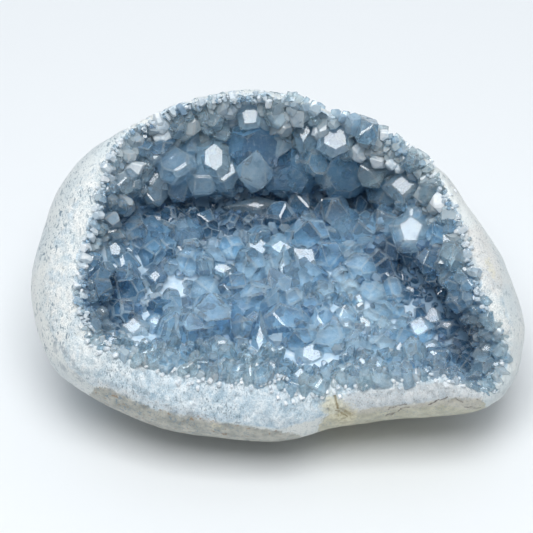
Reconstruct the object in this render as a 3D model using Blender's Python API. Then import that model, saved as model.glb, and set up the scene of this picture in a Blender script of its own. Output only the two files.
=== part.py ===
"""Celestite geode: a rounded stone wall with a hollow face lined by crystals.

Units: metres, +Z up. The hollow faces up and towards -Y. The stone stands on
a small flat spot under its rounded back, at z = 0, and the origin is at the
bottom centre of its bounding box.

The outline of the stone and the edge of its hollow are laid out in a slanted
"face frame": u runs along +X, v runs up the face, and w stands out of the
face. All lengths in the layout are millimetres.
"""
import math
import random

import bmesh
import bpy
import numpy as np
from mathutils import Matrix, Vector

# ---------------------------------------------------------------- dimensions
MM = 0.001
UNIT = 0.3037                 # mm per layout unit of the two outlines below
CENTRE = (277.0, 264.0)       # layout origin of the face frame
FACE_SLANT = math.radians(46) # the face frame's w axis stands this far up from -Y
SHIFT_Y = -14.68              # mm, brings the box centre to y = 0
SHIFT_Z = 52.9                # mm, brings the flat spot to z = 0
SHIFT_X = -0.26

MID_W = -14.0                 # widest section of the stone, at v = 0
MID_TILT = -0.20              # and how it leans back up the face
BACK_DEPTH = 51.0             # how far the rounded back stands behind it
BACK_LEAN = 0.0030            # and how much deeper it gets per mm up the face
BACK_POWER = 2.0
RIM_POWER = 2.4

HOLLOW_PLANE = (-3.0, -0.32)  # mean plane across the mouth: w = a + b * v
HOLLOW_DEPTH = 24.0           # general depth of the stone's hollow
CRUST = 2.6                   # crystal crust over the stone, before the crystals
GAP = 0.32                    # space kept between the stone and the crystals
FLAT_CUT = 1.3                # height ground off under the stone

SEGMENTS = 48                 # around
BACK_RINGS = 11
RIM_RINGS = 5
HOLLOW_RINGS = 8

# outer outline, clockwise from the left, in layout units (x right, y down)
OUTLINE = [
    (30, 280), (42, 229), (58, 186), (86, 151), (123, 128), (161, 108),
    (194, 96), (225, 89), (260, 88), (292, 93), (312, 102), (335, 111),
    (360, 117), (384, 127), (408, 145), (431, 160), (450, 178), (469, 205),
    (487, 231), (504, 261), (515, 288), (523, 315), (525, 335), (519, 368),
    (504, 394), (478, 410), (434, 416), (382, 420), (330, 428), (296, 438),
    (265, 441), (219, 437), (169, 429), (119, 411), (76, 386), (53, 366),
    (37, 330),
]

# edge of the hollow, where the crystals begin, in the same units
MOUTH = [
    (80, 285), (86, 250), (96, 213), (103, 180), (106, 158), (122, 135),
    (150, 118), (175, 107), (205, 98), (244, 93), (285, 98), (312, 108),
    (350, 120), (380, 132), (406, 151), (428, 167), (446, 190), (459, 220),
    (468, 250), (476, 285), (486, 315), (499, 345), (499, 370), (480, 386),
    (450, 378), (417, 371), (382, 372), (344, 374), (312, 384), (286, 382),
    (262, 370), (236, 368), (205, 370), (180, 362), (136, 354), (103, 343),
    (86, 320),
]

# deep channels of the hollow: runs of (x, y), extra depth and half-width in mm
CHANNELS = [
    ([(112, 218), (160, 203), (215, 206), (300, 196), (375, 197)], 11.0, 7.5),
    ([(104, 292), (106, 326)], 8.0, 5.0),
    ([(398, 262), (430, 290), (458, 318), (471, 352)], 9.0, 6.0),
]
# the swelling in the lower right of the hollow: (x, y), height, half-widths
MOUND = ((352, 316), 8.0, 21.0, 14.0)

# ---------------------------------------------------------------- layout


def closed_curve(stations, steps=14):
    """A smooth closed curve through the stations, as (u, v) in mm."""
    pts = np.array([((x - CENTRE[0]) * UNIT, (CENTRE[1] - y) * UNIT) for x, y in stations])
    n = len(pts)
    out = []
    for i in range(n):
        p0, p1, p2, p3 = pts[(i - 1) % n], pts[i], pts[(i + 1) % n], pts[(i + 2) % n]
        for k in range(steps):
            t = k / steps
            out.append(0.5 * ((2 * p1) + (p2 - p0) * t + (2 * p0 - 5 * p1 + 4 * p2 - p3) * t * t
                              + (3 * p1 - p0 - 3 * p2 + p3) * t ** 3))
    return np.array(out)


def radius_table(stations):
    curve = closed_curve(stations)
    ang = np.arctan2(curve[:, 1], curve[:, 0])
    rad = np.hypot(curve[:, 0], curve[:, 1])
    order = np.argsort(ang)
    ang, rad = ang[order], rad[order]
    return (np.concatenate([ang - 2 * math.pi, ang, ang + 2 * math.pi]),
            np.concatenate([rad, rad, rad]))


OUT_TABLE = radius_table(OUTLINE)
MOUTH_TABLE = radius_table(MOUTH)


def outline_radius(ang):
    return np.interp(ang, *OUT_TABLE)


def mouth_radius(ang):
    return np.interp(ang, *MOUTH_TABLE)


def waves(u, v):
    """Slow unevenness of the stone, about -1 to 1."""
    return (0.42 * np.sin(u * 0.071 + 1.3 + 0.9 * np.sin(v * 0.045))
            + 0.33 * np.sin(v * 0.096 - 0.7 + 0.8 * np.sin(u * 0.052))
            + 0.25 * np.sin(u * 0.113 - v * 0.087 + 2.1))


def mid_w(u, v):
    return MID_W + MID_TILT * v


def rim_height(ang):
    """How far the mouth's edge stands in front of the widest section."""
    width = outline_radius(ang) - mouth_radius(ang)
    return np.minimum(17.5, 3.0 + 0.80 * np.maximum(width, 0.4))


def mouth_w(ang):
    r = outline_radius(ang)
    return mid_w(r * np.cos(ang), r * np.sin(ang)) + rim_height(ang)


def run_distance(u, v, run):
    pts = [((x - CENTRE[0]) * UNIT, (CENTRE[1] - y) * UNIT) for x, y in run]
    best = np.full(np.shape(u), 1e9)
    for (ax, ay), (bx, by) in zip(pts[:-1], pts[1:]):
        dx, dy = bx - ax, by - ay
        t = np.clip(((u - ax) * dx + (v - ay) * dy) / (dx * dx + dy * dy), 0, 1)
        best = np.minimum(best, np.hypot(u - ax - t * dx, v - ay - t * dy))
    return best


def hollow_w(u, v):
    """The stone's surface inside the mouth."""
    ang = np.arctan2(v, u)
    q = np.clip(np.hypot(u, v) / mouth_radius(ang), 0, 1)
    a, b = HOLLOW_PLANE
    edge_r = mouth_radius(ang)
    mis = mouth_w(ang) - (a + b * edge_r * np.sin(ang))
    plane = a + b * v + mis * q ** 2
    # the lower wall rises gently, the upper wall is steep
    steep = 3.6 + 2.2 * np.sin(ang)
    steep = np.where(np.sin(ang) < 0, 3.6 + 1.6 * np.sin(ang), steep)
    depth = HOLLOW_DEPTH * np.ones(np.shape(u))
    for run, extra, half in CHANNELS:
        depth = depth + extra * np.exp(-(run_distance(u, v, run) / half) ** 2)
    (mx, my), high, hu, hv = MOUND
    mu, mv = (mx - CENTRE[0]) * UNIT, (CENTRE[1] - my) * UNIT
    depth = depth - high * np.exp(-((u - mu) / hu) ** 2 - ((v - mv) / hv) ** 2)
    return plane - depth * (1 - q ** steep)


def world(uvw):
    """Face frame in mm to world in metres."""
    uvw = np.asarray(uvw, dtype=float)
    s, c = math.sin(FACE_SLANT), math.cos(FACE_SLANT)
    u, v, w = uvw[..., 0], uvw[..., 1], uvw[..., 2]
    return np.stack([(u + SHIFT_X) * MM, (v * s - w * c + SHIFT_Y) * MM,
                     (v * c + w * s + SHIFT_Z) * MM], axis=-1)


ANGLES = np.arange(SEGMENTS) * 2 * math.pi / SEGMENTS


def back_ring(phi):
    s = math.sin(phi)
    r = outline_radius(ANGLES) * s
    u, v = r * np.cos(ANGLES), r * np.sin(ANGLES)
    drop = BACK_DEPTH * (1 + BACK_LEAN * v) * (1 - s ** BACK_POWER) ** 0.5 * (1 + 0.05 * waves(u, v))
    return np.stack([u, v, mid_w(u, v) - drop], axis=-1)


def rim_ring(t):
    r_out, r_in = outline_radius(ANGLES), mouth_radius(ANGLES)
    r = r_out + (r_in - r_out) * t
    u, v = r * np.cos(ANGLES), r * np.sin(ANGLES)
    ro_u, ro_v = r_out * np.cos(ANGLES), r_out * np.sin(ANGLES)
    w = mid_w(ro_u, ro_v) + rim_height(ANGLES) * (1 - (1 - t) ** RIM_POWER) ** 0.5
    return np.stack([u, v, w], axis=-1)


def hollow_ring(q):
    r = mouth_radius(ANGLES) * q
    u, v = r * np.cos(ANGLES), r * np.sin(ANGLES)
    return np.stack([u, v, hollow_w(u, v)], axis=-1)


def loft(name, rings, first_pole, last_pole):
    """A closed body from nested rings with a point at each end."""
    bm = bmesh.new()
    made = [[bm.verts.new(p) for p in world(ring)] for ring in rings]
    a = bm.verts.new(world(first_pole))
    b = bm.verts.new(world(last_pole))
    n = SEGMENTS
    for i in range(n):
        j = (i + 1) % n
        bm.faces.new((a, made[0][j], made[0][i]))
        bm.faces.new((b, made[-1][i], made[-1][j]))
        for lo, hi in zip(made[:-1], made[1:]):
            bm.faces.new((lo[i], lo[j], hi[j], hi[i]))
    bmesh.ops.triangulate(bm, faces=bm.faces[:])
    bmesh.ops.recalc_face_normals(bm, faces=bm.faces[:])
    mesh = bpy.data.meshes.new(name)
    bm.to_mesh(mesh)
    bm.free()
    obj = bpy.data.objects.new(name, mesh)
    bpy.context.collection.objects.link(obj)
    return obj


def material(name, colour, rough, **extra):
    mat = bpy.data.materials.new(name)
    mat.use_nodes = True
    bsdf = mat.node_tree.nodes["Principled BSDF"]
    bsdf.inputs["Base Color"].default_value = (*colour, 1)
    bsdf.inputs["Roughness"].default_value = rough
    bsdf.inputs["Metallic"].default_value = 0.0
    for key, value in extra.items():
        bsdf.inputs[key.replace("_", " ")].default_value = value
    return mat


def boolean(obj, other, operation):
    mod = obj.modifiers.new(operation.title(), "BOOLEAN")
    mod.operation = operation
    mod.solver = "EXACT"
    if isinstance(other, bpy.types.Collection):
        mod.operand_type = "COLLECTION"
        mod.collection = other
    else:
        mod.object = other
    return mod


def cutter(obj):
    obj.hide_render = True
    obj.display_type = "WIRE"
    return obj


def keep_main_body(obj):
    """Apply the cuts, and fill the small closed pockets between crystals."""
    graph = bpy.context.evaluated_depsgraph_get()
    mesh = bpy.data.meshes.new_from_object(obj.evaluated_get(graph))
    obj.modifiers.clear()
    bm = bmesh.new()
    bm.from_mesh(mesh)
    bmesh.ops.triangulate(bm, faces=bm.faces[:])
    bm.faces.ensure_lookup_table()
    seen = set()
    bodies = []
    for start in bm.faces:
        if start.index in seen:
            continue
        seen.add(start.index)
        stack, body = [start], []
        while stack:
            face = stack.pop()
            body.append(face)
            for edge in face.edges:
                for other in edge.link_faces:
                    if other.index not in seen:
                        seen.add(other.index)
                        stack.append(other)
        volume = 0.0
        for face in body:
            a, b, c = (x.co for x in face.verts)
            volume += a.dot(b.cross(c)) / 6
        bodies.append((volume, body))
    bodies.sort(key=lambda x: x[0])
    for volume, body in bodies[:-1]:
        bmesh.ops.delete(bm, geom=body, context="FACES")
    bm.to_mesh(mesh)
    bm.free()
    obj.data = mesh


# ---------------------------------------------------------------- crystals
# Celestine's own face angles. c lies across the crystal, a is its long axis.
CELL_A, CELL_B, CELL_C = 8.359, 5.352, 6.866


def face_normal(h, k, l):
    n = Vector((l / CELL_C, k / CELL_B, h / CELL_A))   # x = c axis, y = b, z = a
    return n.normalized()


def crystal_planes(rng, width, length):
    """Half-spaces of one crystal: prism along z, wedge or pyramid at the top."""
    planes = []
    half = width / 2
    for l in (1, -1):
        planes.append((face_normal(0, 0, l), half * rng.uniform(0.82, 1.05)))
    for k in (1, -1):
        for l in (1, -1):
            planes.append((face_normal(0, k, l), half * rng.uniform(0.86, 1.08)))
    tip = length
    for k in (1, -1):
        n = face_normal(2, k, 0)
        planes.append((n, (tip + rng.uniform(0.0, 0.16) * width) * n.z))
    for l in (1, -1):
        n = face_normal(1, 0, l)
        planes.append((n, (tip + rng.uniform(-0.05, 0.22) * width) * n.z))
    if rng.random() < 0.55:
        planes.append((Vector((0, 0, 1)), tip - rng.uniform(0.05, 0.28) * width))
    planes.append((Vector((0, 0, -1)), 0.0))
    return planes


def convex_solid(planes):
    """Corner points of the body that all half-spaces share."""
    n = np.array([p[0] for p in planes], dtype=float)
    d = np.array([p[1] for p in planes], dtype=float)
    m = len(d)
    corners = []
    for i in range(m):
        for j in range(i + 1, m):
            for k in range(j + 1, m):
                a = n[[i, j, k]]
                if abs(np.linalg.det(a)) < 1e-5:
                    continue
                p = np.linalg.solve(a, d[[i, j, k]])
                if np.all(n @ p <= d + 1e-6):
                    if all(np.linalg.norm(p - q) > 0.12 for q in corners):
                        corners.append(p)
    return corners


def surface_frame(u, v):
    """Point and outward direction of the crust at (u, v), in the face frame."""
    e = 1.5
    w = float(hollow_w(u, v))
    du = float(hollow_w(u + e, v) - hollow_w(u - e, v)) / (2 * e)
    dv = float(hollow_w(u, v + e) - hollow_w(u, v - e)) / (2 * e)
    return Vector((u, v, w)), Vector((-du, -dv, 1)).normalized()


def add_crystal(rng, name, u, v, width, length, lean, group, out=0.0):
    base, normal = surface_frame(u, v)
    steer = Vector((rng.uniform(-1, 1), rng.uniform(-1, 1), rng.uniform(-0.3, 0.6)))
    axis = (normal * 1.0 + steer * lean + Vector((0, 0, 0.35))).normalized()
    spin = Matrix.Rotation(rng.uniform(0, math.tau), 4, "Z")
    turn = axis.to_track_quat("Z", "Y").to_matrix().to_4x4() @ spin
    root = base + normal * (CRUST - 1.6 + out)
    bm = bmesh.new()
    for p in convex_solid(crystal_planes(rng, width, length)):
        q = root + turn @ Vector(p)
        bm.verts.new(world((q.x, q.y, q.z)))
    bmesh.ops.convex_hull(bm, input=bm.verts[:])
    bmesh.ops.delete(bm, geom=[x for x in bm.verts if not x.link_faces], context="VERTS")
    bmesh.ops.recalc_face_normals(bm, faces=bm.faces[:])
    mesh = bpy.data.meshes.new(name)
    bm.to_mesh(mesh)
    bm.free()
    obj = cutter(bpy.data.objects.new(name, mesh))
    group.objects.link(obj)


# large crystals that stand out: (x, y) of the root, width and length in mm
LARGE = [
    (214, 170, 8.0, 11.0), (257, 158, 12.0, 14.0), (213, 128, 7.0, 9.0),
    (251, 122, 7.0, 9.0), (276, 116, 6.5, 10.0), (289, 180, 9.5, 13.0),
    (312, 160, 7.0, 13.0), (336, 146, 8.5, 10.0), (346, 178, 11.0, 13.0),
    (372, 150, 7.5, 9.0), (403, 188, 9.0, 10.0), (396, 236, 10.5, 13.0),
    (432, 190, 7.0, 12.0), (424, 222, 8.0, 9.0), (349, 232, 9.0, 10.0),
    (453, 254, 7.5, 9.0), (458, 298, 9.0, 9.0), (300, 285, 12.0, 13.0),
    (341, 280, 8.5, 10.0), (262, 236, 8.5, 10.0), (262, 338, 8.0, 10.0),
    (228, 300, 9.0, 10.0), (283, 320, 9.5, 11.0), (310, 360, 8.5, 9.0),
    (133, 320, 8.5, 9.0), (152, 196, 8.0, 10.0), (121, 185, 7.5, 9.0),
    (135, 150, 7.0, 8.0), (170, 230, 9.0, 10.0), (121, 258, 8.5, 9.0),
    (190, 262, 8.5, 10.0), (176, 322, 8.5, 9.0), (372, 320, 9.5, 10.0),
    (408, 330, 9.0, 9.0), (436, 350, 8.0, 8.0), (489, 366, 9.0, 8.0),
]


def scatter(rng, taken, count=36):
    """Roots of the smaller crystals, each in the widest bare place left."""
    out = []
    for _ in range(count):
        best = None
        for _ in range(60):
            ang = rng.uniform(-math.pi, math.pi)
            q = math.sqrt(rng.uniform(0.0, 0.89))
            r = float(mouth_radius(ang)) * q
            u, v = r * math.cos(ang), r * math.sin(ang)
            room = min(math.hypot(u - a, v - b) - 0.5 * c for a, b, c in taken)
            if best is None or room > best[0]:
                best = (room, u, v, q)
        room, u, v, q = best
        # the crystals get small towards the edge of the hollow
        width = min(11.0, 5.0 + 20.0 * (1 - q), max(7.0, 2.2 * room)) * rng.uniform(0.9, 1.1)
        taken.append((u, v, width))
        out.append((u, v, width, width * rng.uniform(0.85, 1.15)))
    return out


# ---------------------------------------------------------------- the object

def build():
    for obj in list(bpy.data.objects):
        bpy.data.objects.remove(obj, do_unlink=True)

    stone = material("celestite rind", (0.70, 0.76, 0.78), 0.75)
    glassy = material("celestite crystal", (0.42, 0.56, 0.68), 0.12,
                      Transmission_Weight=0.8, IOR=1.62)

    # the stone wall: rounded back, rim and hollow as one closed skin
    rings = [back_ring(math.pi / 2 * k / BACK_RINGS) for k in range(1, BACK_RINGS + 1)]
    rings += [rim_ring((k / RIM_RINGS) ** 1.5) for k in range(1, RIM_RINGS + 1)]
    qs = [0.975 - 0.975 * (k / HOLLOW_RINGS) for k in range(0, HOLLOW_RINGS)]
    hollow = [hollow_ring(q) for q in qs]
    back_pole = (0, 0, float(mid_w(0, 0)) - BACK_DEPTH * (1 + 0.05 * float(waves(0.0, 0.0))))
    floor_pole = (0, 0, float(hollow_w(np.array(0.0), np.array(1e-6))))
    rind = loft("rind", rings + hollow, back_pole, floor_pole)
    rind.data.materials.append(stone)

    # the small flat spot that it stands on
    bm = bmesh.new()
    bm.from_mesh(rind.data)
    cut = bmesh.ops.bisect_plane(bm, geom=bm.verts[:] + bm.edges[:] + bm.faces[:],
                                 dist=1e-7, plane_co=(0, 0, 0), plane_no=(0, 0, -1),
                                 clear_outer=True)
    edges = [e for e in cut["geom_cut"] if isinstance(e, bmesh.types.BMEdge)]
    bmesh.ops.contextual_create(bm, geom=edges)
    bmesh.ops.triangulate(bm, faces=[f for f in bm.faces if len(f.verts) > 3])
    bmesh.ops.recalc_face_normals(bm, faces=bm.faces[:])
    bm.to_mesh(rind.data)
    bm.free()

    # the room that the crystals may fill: the hollow less the gap, and above it
    def lifted(ring_list):
        """Rings of the hollow moved off the stone by the gap."""
        grid = np.array(ring_list)
        out = []
        for ring in grid:
            moved = []
            for u, v, w in ring:
                r = math.hypot(u, v)
                k = max(0.0, r - 0.05)
                u2, v2 = u * k / r, v * k / r
                p, n = surface_frame(u2, v2)
                moved.append(p + n * GAP)
            out.append(np.array([tuple(m) for m in moved]))
        return out

    inner = lifted([hollow_ring(q) for q in qs])[::-1]
    r_in = mouth_radius(ANGLES)
    lip_w = mouth_w(ANGLES)
    unit_u, unit_v = np.cos(ANGLES), np.sin(ANGLES)

    def lip(dr, dw):
        return np.stack([(r_in + dr) * unit_u, (r_in + dr) * unit_v, lip_w + dw], axis=-1)

    room = cutter(loft("room", inner + [lip(-0.1, GAP + 0.1), lip(4.5, 3.6), lip(4.5, 20.0)],
                       (0, 0, float(hollow_w(np.array(0.0), np.array(1e-6))) + GAP),
                       (0, 0, 60.0)))

    # the crust: follows the hollow, thick enough to hold every crystal
    def crust_ring(q, offset):
        ring = hollow_ring(q)
        ring[:, 2] += offset
        return ring

    crust_qs = [0.965 - 0.965 * k / 8 for k in range(0, 8)]
    lower = [crust_ring(q, -3.0) for q in crust_qs[::-1]]
    upper = [crust_ring(q, CRUST + 0.25 * (1 - q)) for q in crust_qs]
    w0 = float(hollow_w(np.array(0.0), np.array(1e-6)))
    crystals = loft("crystals", lower + upper, (0, 0, w0 - 3.0), (0, 0, w0 + CRUST + 0.25))
    crystals.data.materials.append(glassy)

    group = bpy.data.collections.new("grown crystals")
    rng = random.Random(41)
    taken = []
    spots = []
    for x, y, width, length in LARGE:
        u, v = (x - CENTRE[0]) * UNIT, (CENTRE[1] - y) * UNIT
        taken.append((u, v, width))
        spots.append((u, v, width * 1.12, length * 1.05))
    spots += scatter(rng, taken)
    for i, (u, v, width, length) in enumerate(spots):
        add_crystal(rng, f"crystal_{i}", u, v, width, length, 0.30, group)

    boolean(crystals, group, "UNION")
    boolean(crystals, room, "INTERSECT")
    keep_main_body(crystals)
    for obj in (rind, crystals):
        for poly in obj.data.polygons:
            poly.use_smooth = False
    return rind, crystals


build()
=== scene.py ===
"""Celestite geode: surfaces, crystals and a plain studio.

Lengths in the layout are millimetres in a slanted face frame: u runs along
+X, v up the face, w out of the face. The scene itself is in metres, +Z up.
"""

import math
import random

import bpy
import numpy as np
from mathutils import Matrix, Vector

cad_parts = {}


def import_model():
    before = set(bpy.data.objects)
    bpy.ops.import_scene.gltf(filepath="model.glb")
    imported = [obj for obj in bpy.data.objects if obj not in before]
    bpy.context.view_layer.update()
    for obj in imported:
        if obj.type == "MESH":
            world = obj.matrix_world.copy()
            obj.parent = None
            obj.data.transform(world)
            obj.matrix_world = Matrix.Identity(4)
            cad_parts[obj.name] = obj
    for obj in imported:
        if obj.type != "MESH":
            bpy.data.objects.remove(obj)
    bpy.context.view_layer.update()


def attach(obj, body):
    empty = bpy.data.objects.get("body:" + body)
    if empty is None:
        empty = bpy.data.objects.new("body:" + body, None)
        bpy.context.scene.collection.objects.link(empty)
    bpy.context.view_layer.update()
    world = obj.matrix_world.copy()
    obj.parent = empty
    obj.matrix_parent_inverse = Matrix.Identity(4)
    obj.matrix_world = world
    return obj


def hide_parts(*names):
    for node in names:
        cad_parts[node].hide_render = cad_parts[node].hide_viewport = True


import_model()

# ------------------------------------------------------------------ layout
MM = 0.001
UNIT = 0.3037
CENTRE = (277.0, 264.0)
FACE_SLANT = math.radians(46)
SHIFT_X, SHIFT_Y, SHIFT_Z = -0.26, -14.68, 52.9
SIN, COS = math.sin(FACE_SLANT), math.cos(FACE_SLANT)
VIEW_DIST = 900.0             # mm, from the face frame's origin to the camera

MID_W, MID_TILT = -14.0, -0.20
BACK_DEPTH, BACK_LEAN, BACK_POWER = 51.0, 0.0030, 2.0
RIM_POWER = 2.4
HOLLOW_PLANE = (-3.0, -0.32)
HOLLOW_DEPTH = 24.0

OUTLINE = [
    (30, 280), (42, 229), (58, 186), (86, 151), (123, 128), (161, 108),
    (194, 96), (225, 89), (260, 88), (292, 93), (312, 102), (335, 111),
    (360, 117), (384, 127), (408, 145), (431, 160), (450, 178), (469, 205),
    (487, 231), (504, 261), (515, 288), (523, 315), (525, 335), (519, 368),
    (504, 394), (478, 410), (434, 416), (382, 420), (330, 428), (296, 438),
    (265, 441), (219, 437), (169, 429), (119, 411), (76, 386), (53, 366),
    (37, 330),
]
MOUTH = [
    (80, 285), (86, 250), (96, 213), (103, 180), (106, 158), (122, 135),
    (150, 118), (175, 107), (205, 98), (244, 93), (285, 98), (312, 108),
    (350, 120), (380, 132), (406, 151), (428, 167), (446, 190), (459, 220),
    (468, 250), (476, 285), (486, 315), (499, 345), (499, 370), (480, 386),
    (450, 378), (417, 371), (382, 372), (344, 374), (312, 384), (286, 382),
    (262, 370), (236, 368), (205, 370), (180, 362), (136, 354), (103, 343),
    (86, 320),
]
CHANNELS = [
    ([(112, 218), (160, 203), (215, 206), (300, 196), (375, 197)], 11.0, 7.5),
    ([(104, 292), (106, 326)], 8.0, 5.0),
    ([(398, 262), (430, 290), (458, 318), (471, 352)], 9.0, 6.0),
]
MOUND = ((352, 316), 8.0, 21.0, 14.0)


def uv_of(x, y):
    return (x - CENTRE[0]) * UNIT, (CENTRE[1] - y) * UNIT


def closed_curve(stations, steps=24):
    pts = np.array([uv_of(x, y) for x, y in stations])
    n = len(pts)
    out = []
    for i in range(n):
        p0, p1, p2, p3 = pts[(i - 1) % n], pts[i], pts[(i + 1) % n], pts[(i + 2) % n]
        for k in range(steps):
            t = k / steps
            out.append(0.5 * ((2 * p1) + (p2 - p0) * t + (2 * p0 - 5 * p1 + 4 * p2 - p3) * t * t
                              + (3 * p1 - p0 - 3 * p2 + p3) * t ** 3))
    return np.array(out)


def radius_table(stations):
    curve = closed_curve(stations)
    ang = np.arctan2(curve[:, 1], curve[:, 0])
    rad = np.hypot(curve[:, 0], curve[:, 1])
    order = np.argsort(ang)
    ang, rad = ang[order], rad[order]
    return (np.concatenate([ang - 2 * math.pi, ang, ang + 2 * math.pi]),
            np.concatenate([rad, rad, rad]))


OUT_TABLE = radius_table(OUTLINE)
MOUTH_TABLE = radius_table(MOUTH)


def outline_radius(ang):
    return np.interp(ang, *OUT_TABLE)


def mouth_radius(ang):
    return np.minimum(np.interp(ang, *MOUTH_TABLE), outline_radius(ang) - 1.3)


def waves(u, v):
    return (0.42 * np.sin(u * 0.071 + 1.3 + 0.9 * np.sin(v * 0.045))
            + 0.33 * np.sin(v * 0.096 - 0.7 + 0.8 * np.sin(u * 0.052))
            + 0.25 * np.sin(u * 0.113 - v * 0.087 + 2.1))


def mid_w(u, v):
    return MID_W + MID_TILT * v


def rim_height(ang):
    width = outline_radius(ang) - mouth_radius(ang)
    return np.minimum(17.5, 3.0 + 0.80 * np.maximum(width, 0.4))


def mouth_w(ang):
    r = outline_radius(ang)
    return mid_w(r * np.cos(ang), r * np.sin(ang)) + rim_height(ang)


def run_distance(u, v, run):
    pts = [uv_of(x, y) for x, y in run]
    best = np.full(np.shape(u), 1e9)
    for (ax, ay), (bx, by) in zip(pts[:-1], pts[1:]):
        dx, dy = bx - ax, by - ay
        t = np.clip(((u - ax) * dx + (v - ay) * dy) / (dx * dx + dy * dy), 0, 1)
        best = np.minimum(best, np.hypot(u - ax - t * dx, v - ay - t * dy))
    return best


def hollow_w(u, v):
    u, v = np.asarray(u, float), np.asarray(v, float)
    ang = np.arctan2(v, u)
    q = np.clip(np.hypot(u, v) / mouth_radius(ang), 0, 1)
    a, b = HOLLOW_PLANE
    edge_r = mouth_radius(ang)
    mis = mouth_w(ang) - (a + b * edge_r * np.sin(ang))
    plane = a + b * v + mis * q ** 2
    steep = 3.6 + 2.2 * np.sin(ang)
    steep = np.where(np.sin(ang) < 0, 3.6 + 1.6 * np.sin(ang), steep)
    depth = HOLLOW_DEPTH * np.ones(np.shape(u))
    for run, extra, half in CHANNELS:
        depth = depth + extra * np.exp(-(run_distance(u, v, run) / half) ** 2)
    (mx, my), high, hu, hv = MOUND
    mu, mv = uv_of(mx, my)
    depth = depth - high * np.exp(-((u - mu) / hu) ** 2 - ((v - mv) / hv) ** 2)
    return plane - depth * (1 - q ** steep)


def world(uvw):
    uvw = np.asarray(uvw, dtype=float)
    u, v, w = uvw[..., 0], uvw[..., 1], uvw[..., 2]
    return np.stack([(u + SHIFT_X) * MM, (v * SIN - w * COS + SHIFT_Y) * MM,
                     (v * COS + w * SIN + SHIFT_Z) * MM], axis=-1)


def to_face(vec):
    """A world direction in the face frame."""
    x, y, z = vec
    return Vector((x, y * SIN + z * COS, -y * COS + z * SIN))


# ------------------------------------------------------------------ noise

def _hash(ix, iy, iz, seed):
    h = (ix.astype(np.int64) * 374761393 + iy.astype(np.int64) * 668265263
         + iz.astype(np.int64) * 2147483647 + seed * 974711) & 0xFFFFFFFF
    h = ((h ^ (h >> 13)) * 1274126177) & 0xFFFFFFFF
    h = ((h ^ (h >> 16)) * 2246822519) & 0xFFFFFFFF
    return ((h ^ (h >> 15)) & 0xFFFFFF) / float(0xFFFFFF)


def value_noise(p, seed=0):
    """Smooth noise, -1 to 1, for an (n, 3) array."""
    f = np.floor(p)
    t = p - f
    t = t * t * t * (t * (t * 6 - 15) + 10)
    i = f.astype(np.int64)
    out = 0
    for dx in (0, 1):
        wx = t[:, 0] if dx else 1 - t[:, 0]
        for dy in (0, 1):
            wy = t[:, 1] if dy else 1 - t[:, 1]
            for dz in (0, 1):
                wz = t[:, 2] if dz else 1 - t[:, 2]
                out = out + wx * wy * wz * _hash(i[:, 0] + dx, i[:, 1] + dy, i[:, 2] + dz, seed)
    return out * 2 - 1


def fractal(p, octaves=4, seed=0, gain=0.5):
    out, amp, total = 0, 1.0, 0.0
    for k in range(octaves):
        out = out + amp * value_noise(p * (2.03 ** k) + 17.3 * k, seed + k)
        total += amp
        amp *= gain
    return out / total


def cells(p, seed=0):
    """Distance to the nearest and second nearest random point."""
    f = np.floor(p).astype(np.int64)
    d1 = np.full(len(p), 9.0)
    d2 = np.full(len(p), 9.0)
    for dx in (-1, 0, 1):
        for dy in (-1, 0, 1):
            for dz in (-1, 0, 1):
                c = f + np.array([dx, dy, dz])
                q = np.stack([_hash(c[:, 0], c[:, 1], c[:, 2], seed + s) for s in (0, 101, 202)], axis=1) + c
                d = np.linalg.norm(q - p, axis=1)
                near = d < d1
                d2 = np.where(near, d1, np.minimum(d2, d))
                d1 = np.where(near, d, d1)
    return d1, d2


# ------------------------------------------------------------------ stone

def smooth(a, b, x):
    t = np.clip((x - a) / (b - a), 0, 1)
    return t * t * (3 - 2 * t)


def add_mesh(name, verts, faces, smooth_shade=False):
    mesh = bpy.data.meshes.new(name)
    mesh.from_pydata([tuple(v) for v in verts], [], faces)
    mesh.update()
    if smooth_shade:
        mesh.shade_smooth()
    obj = bpy.data.objects.new(name, mesh)
    bpy.context.collection.objects.link(obj)
    return obj


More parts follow.
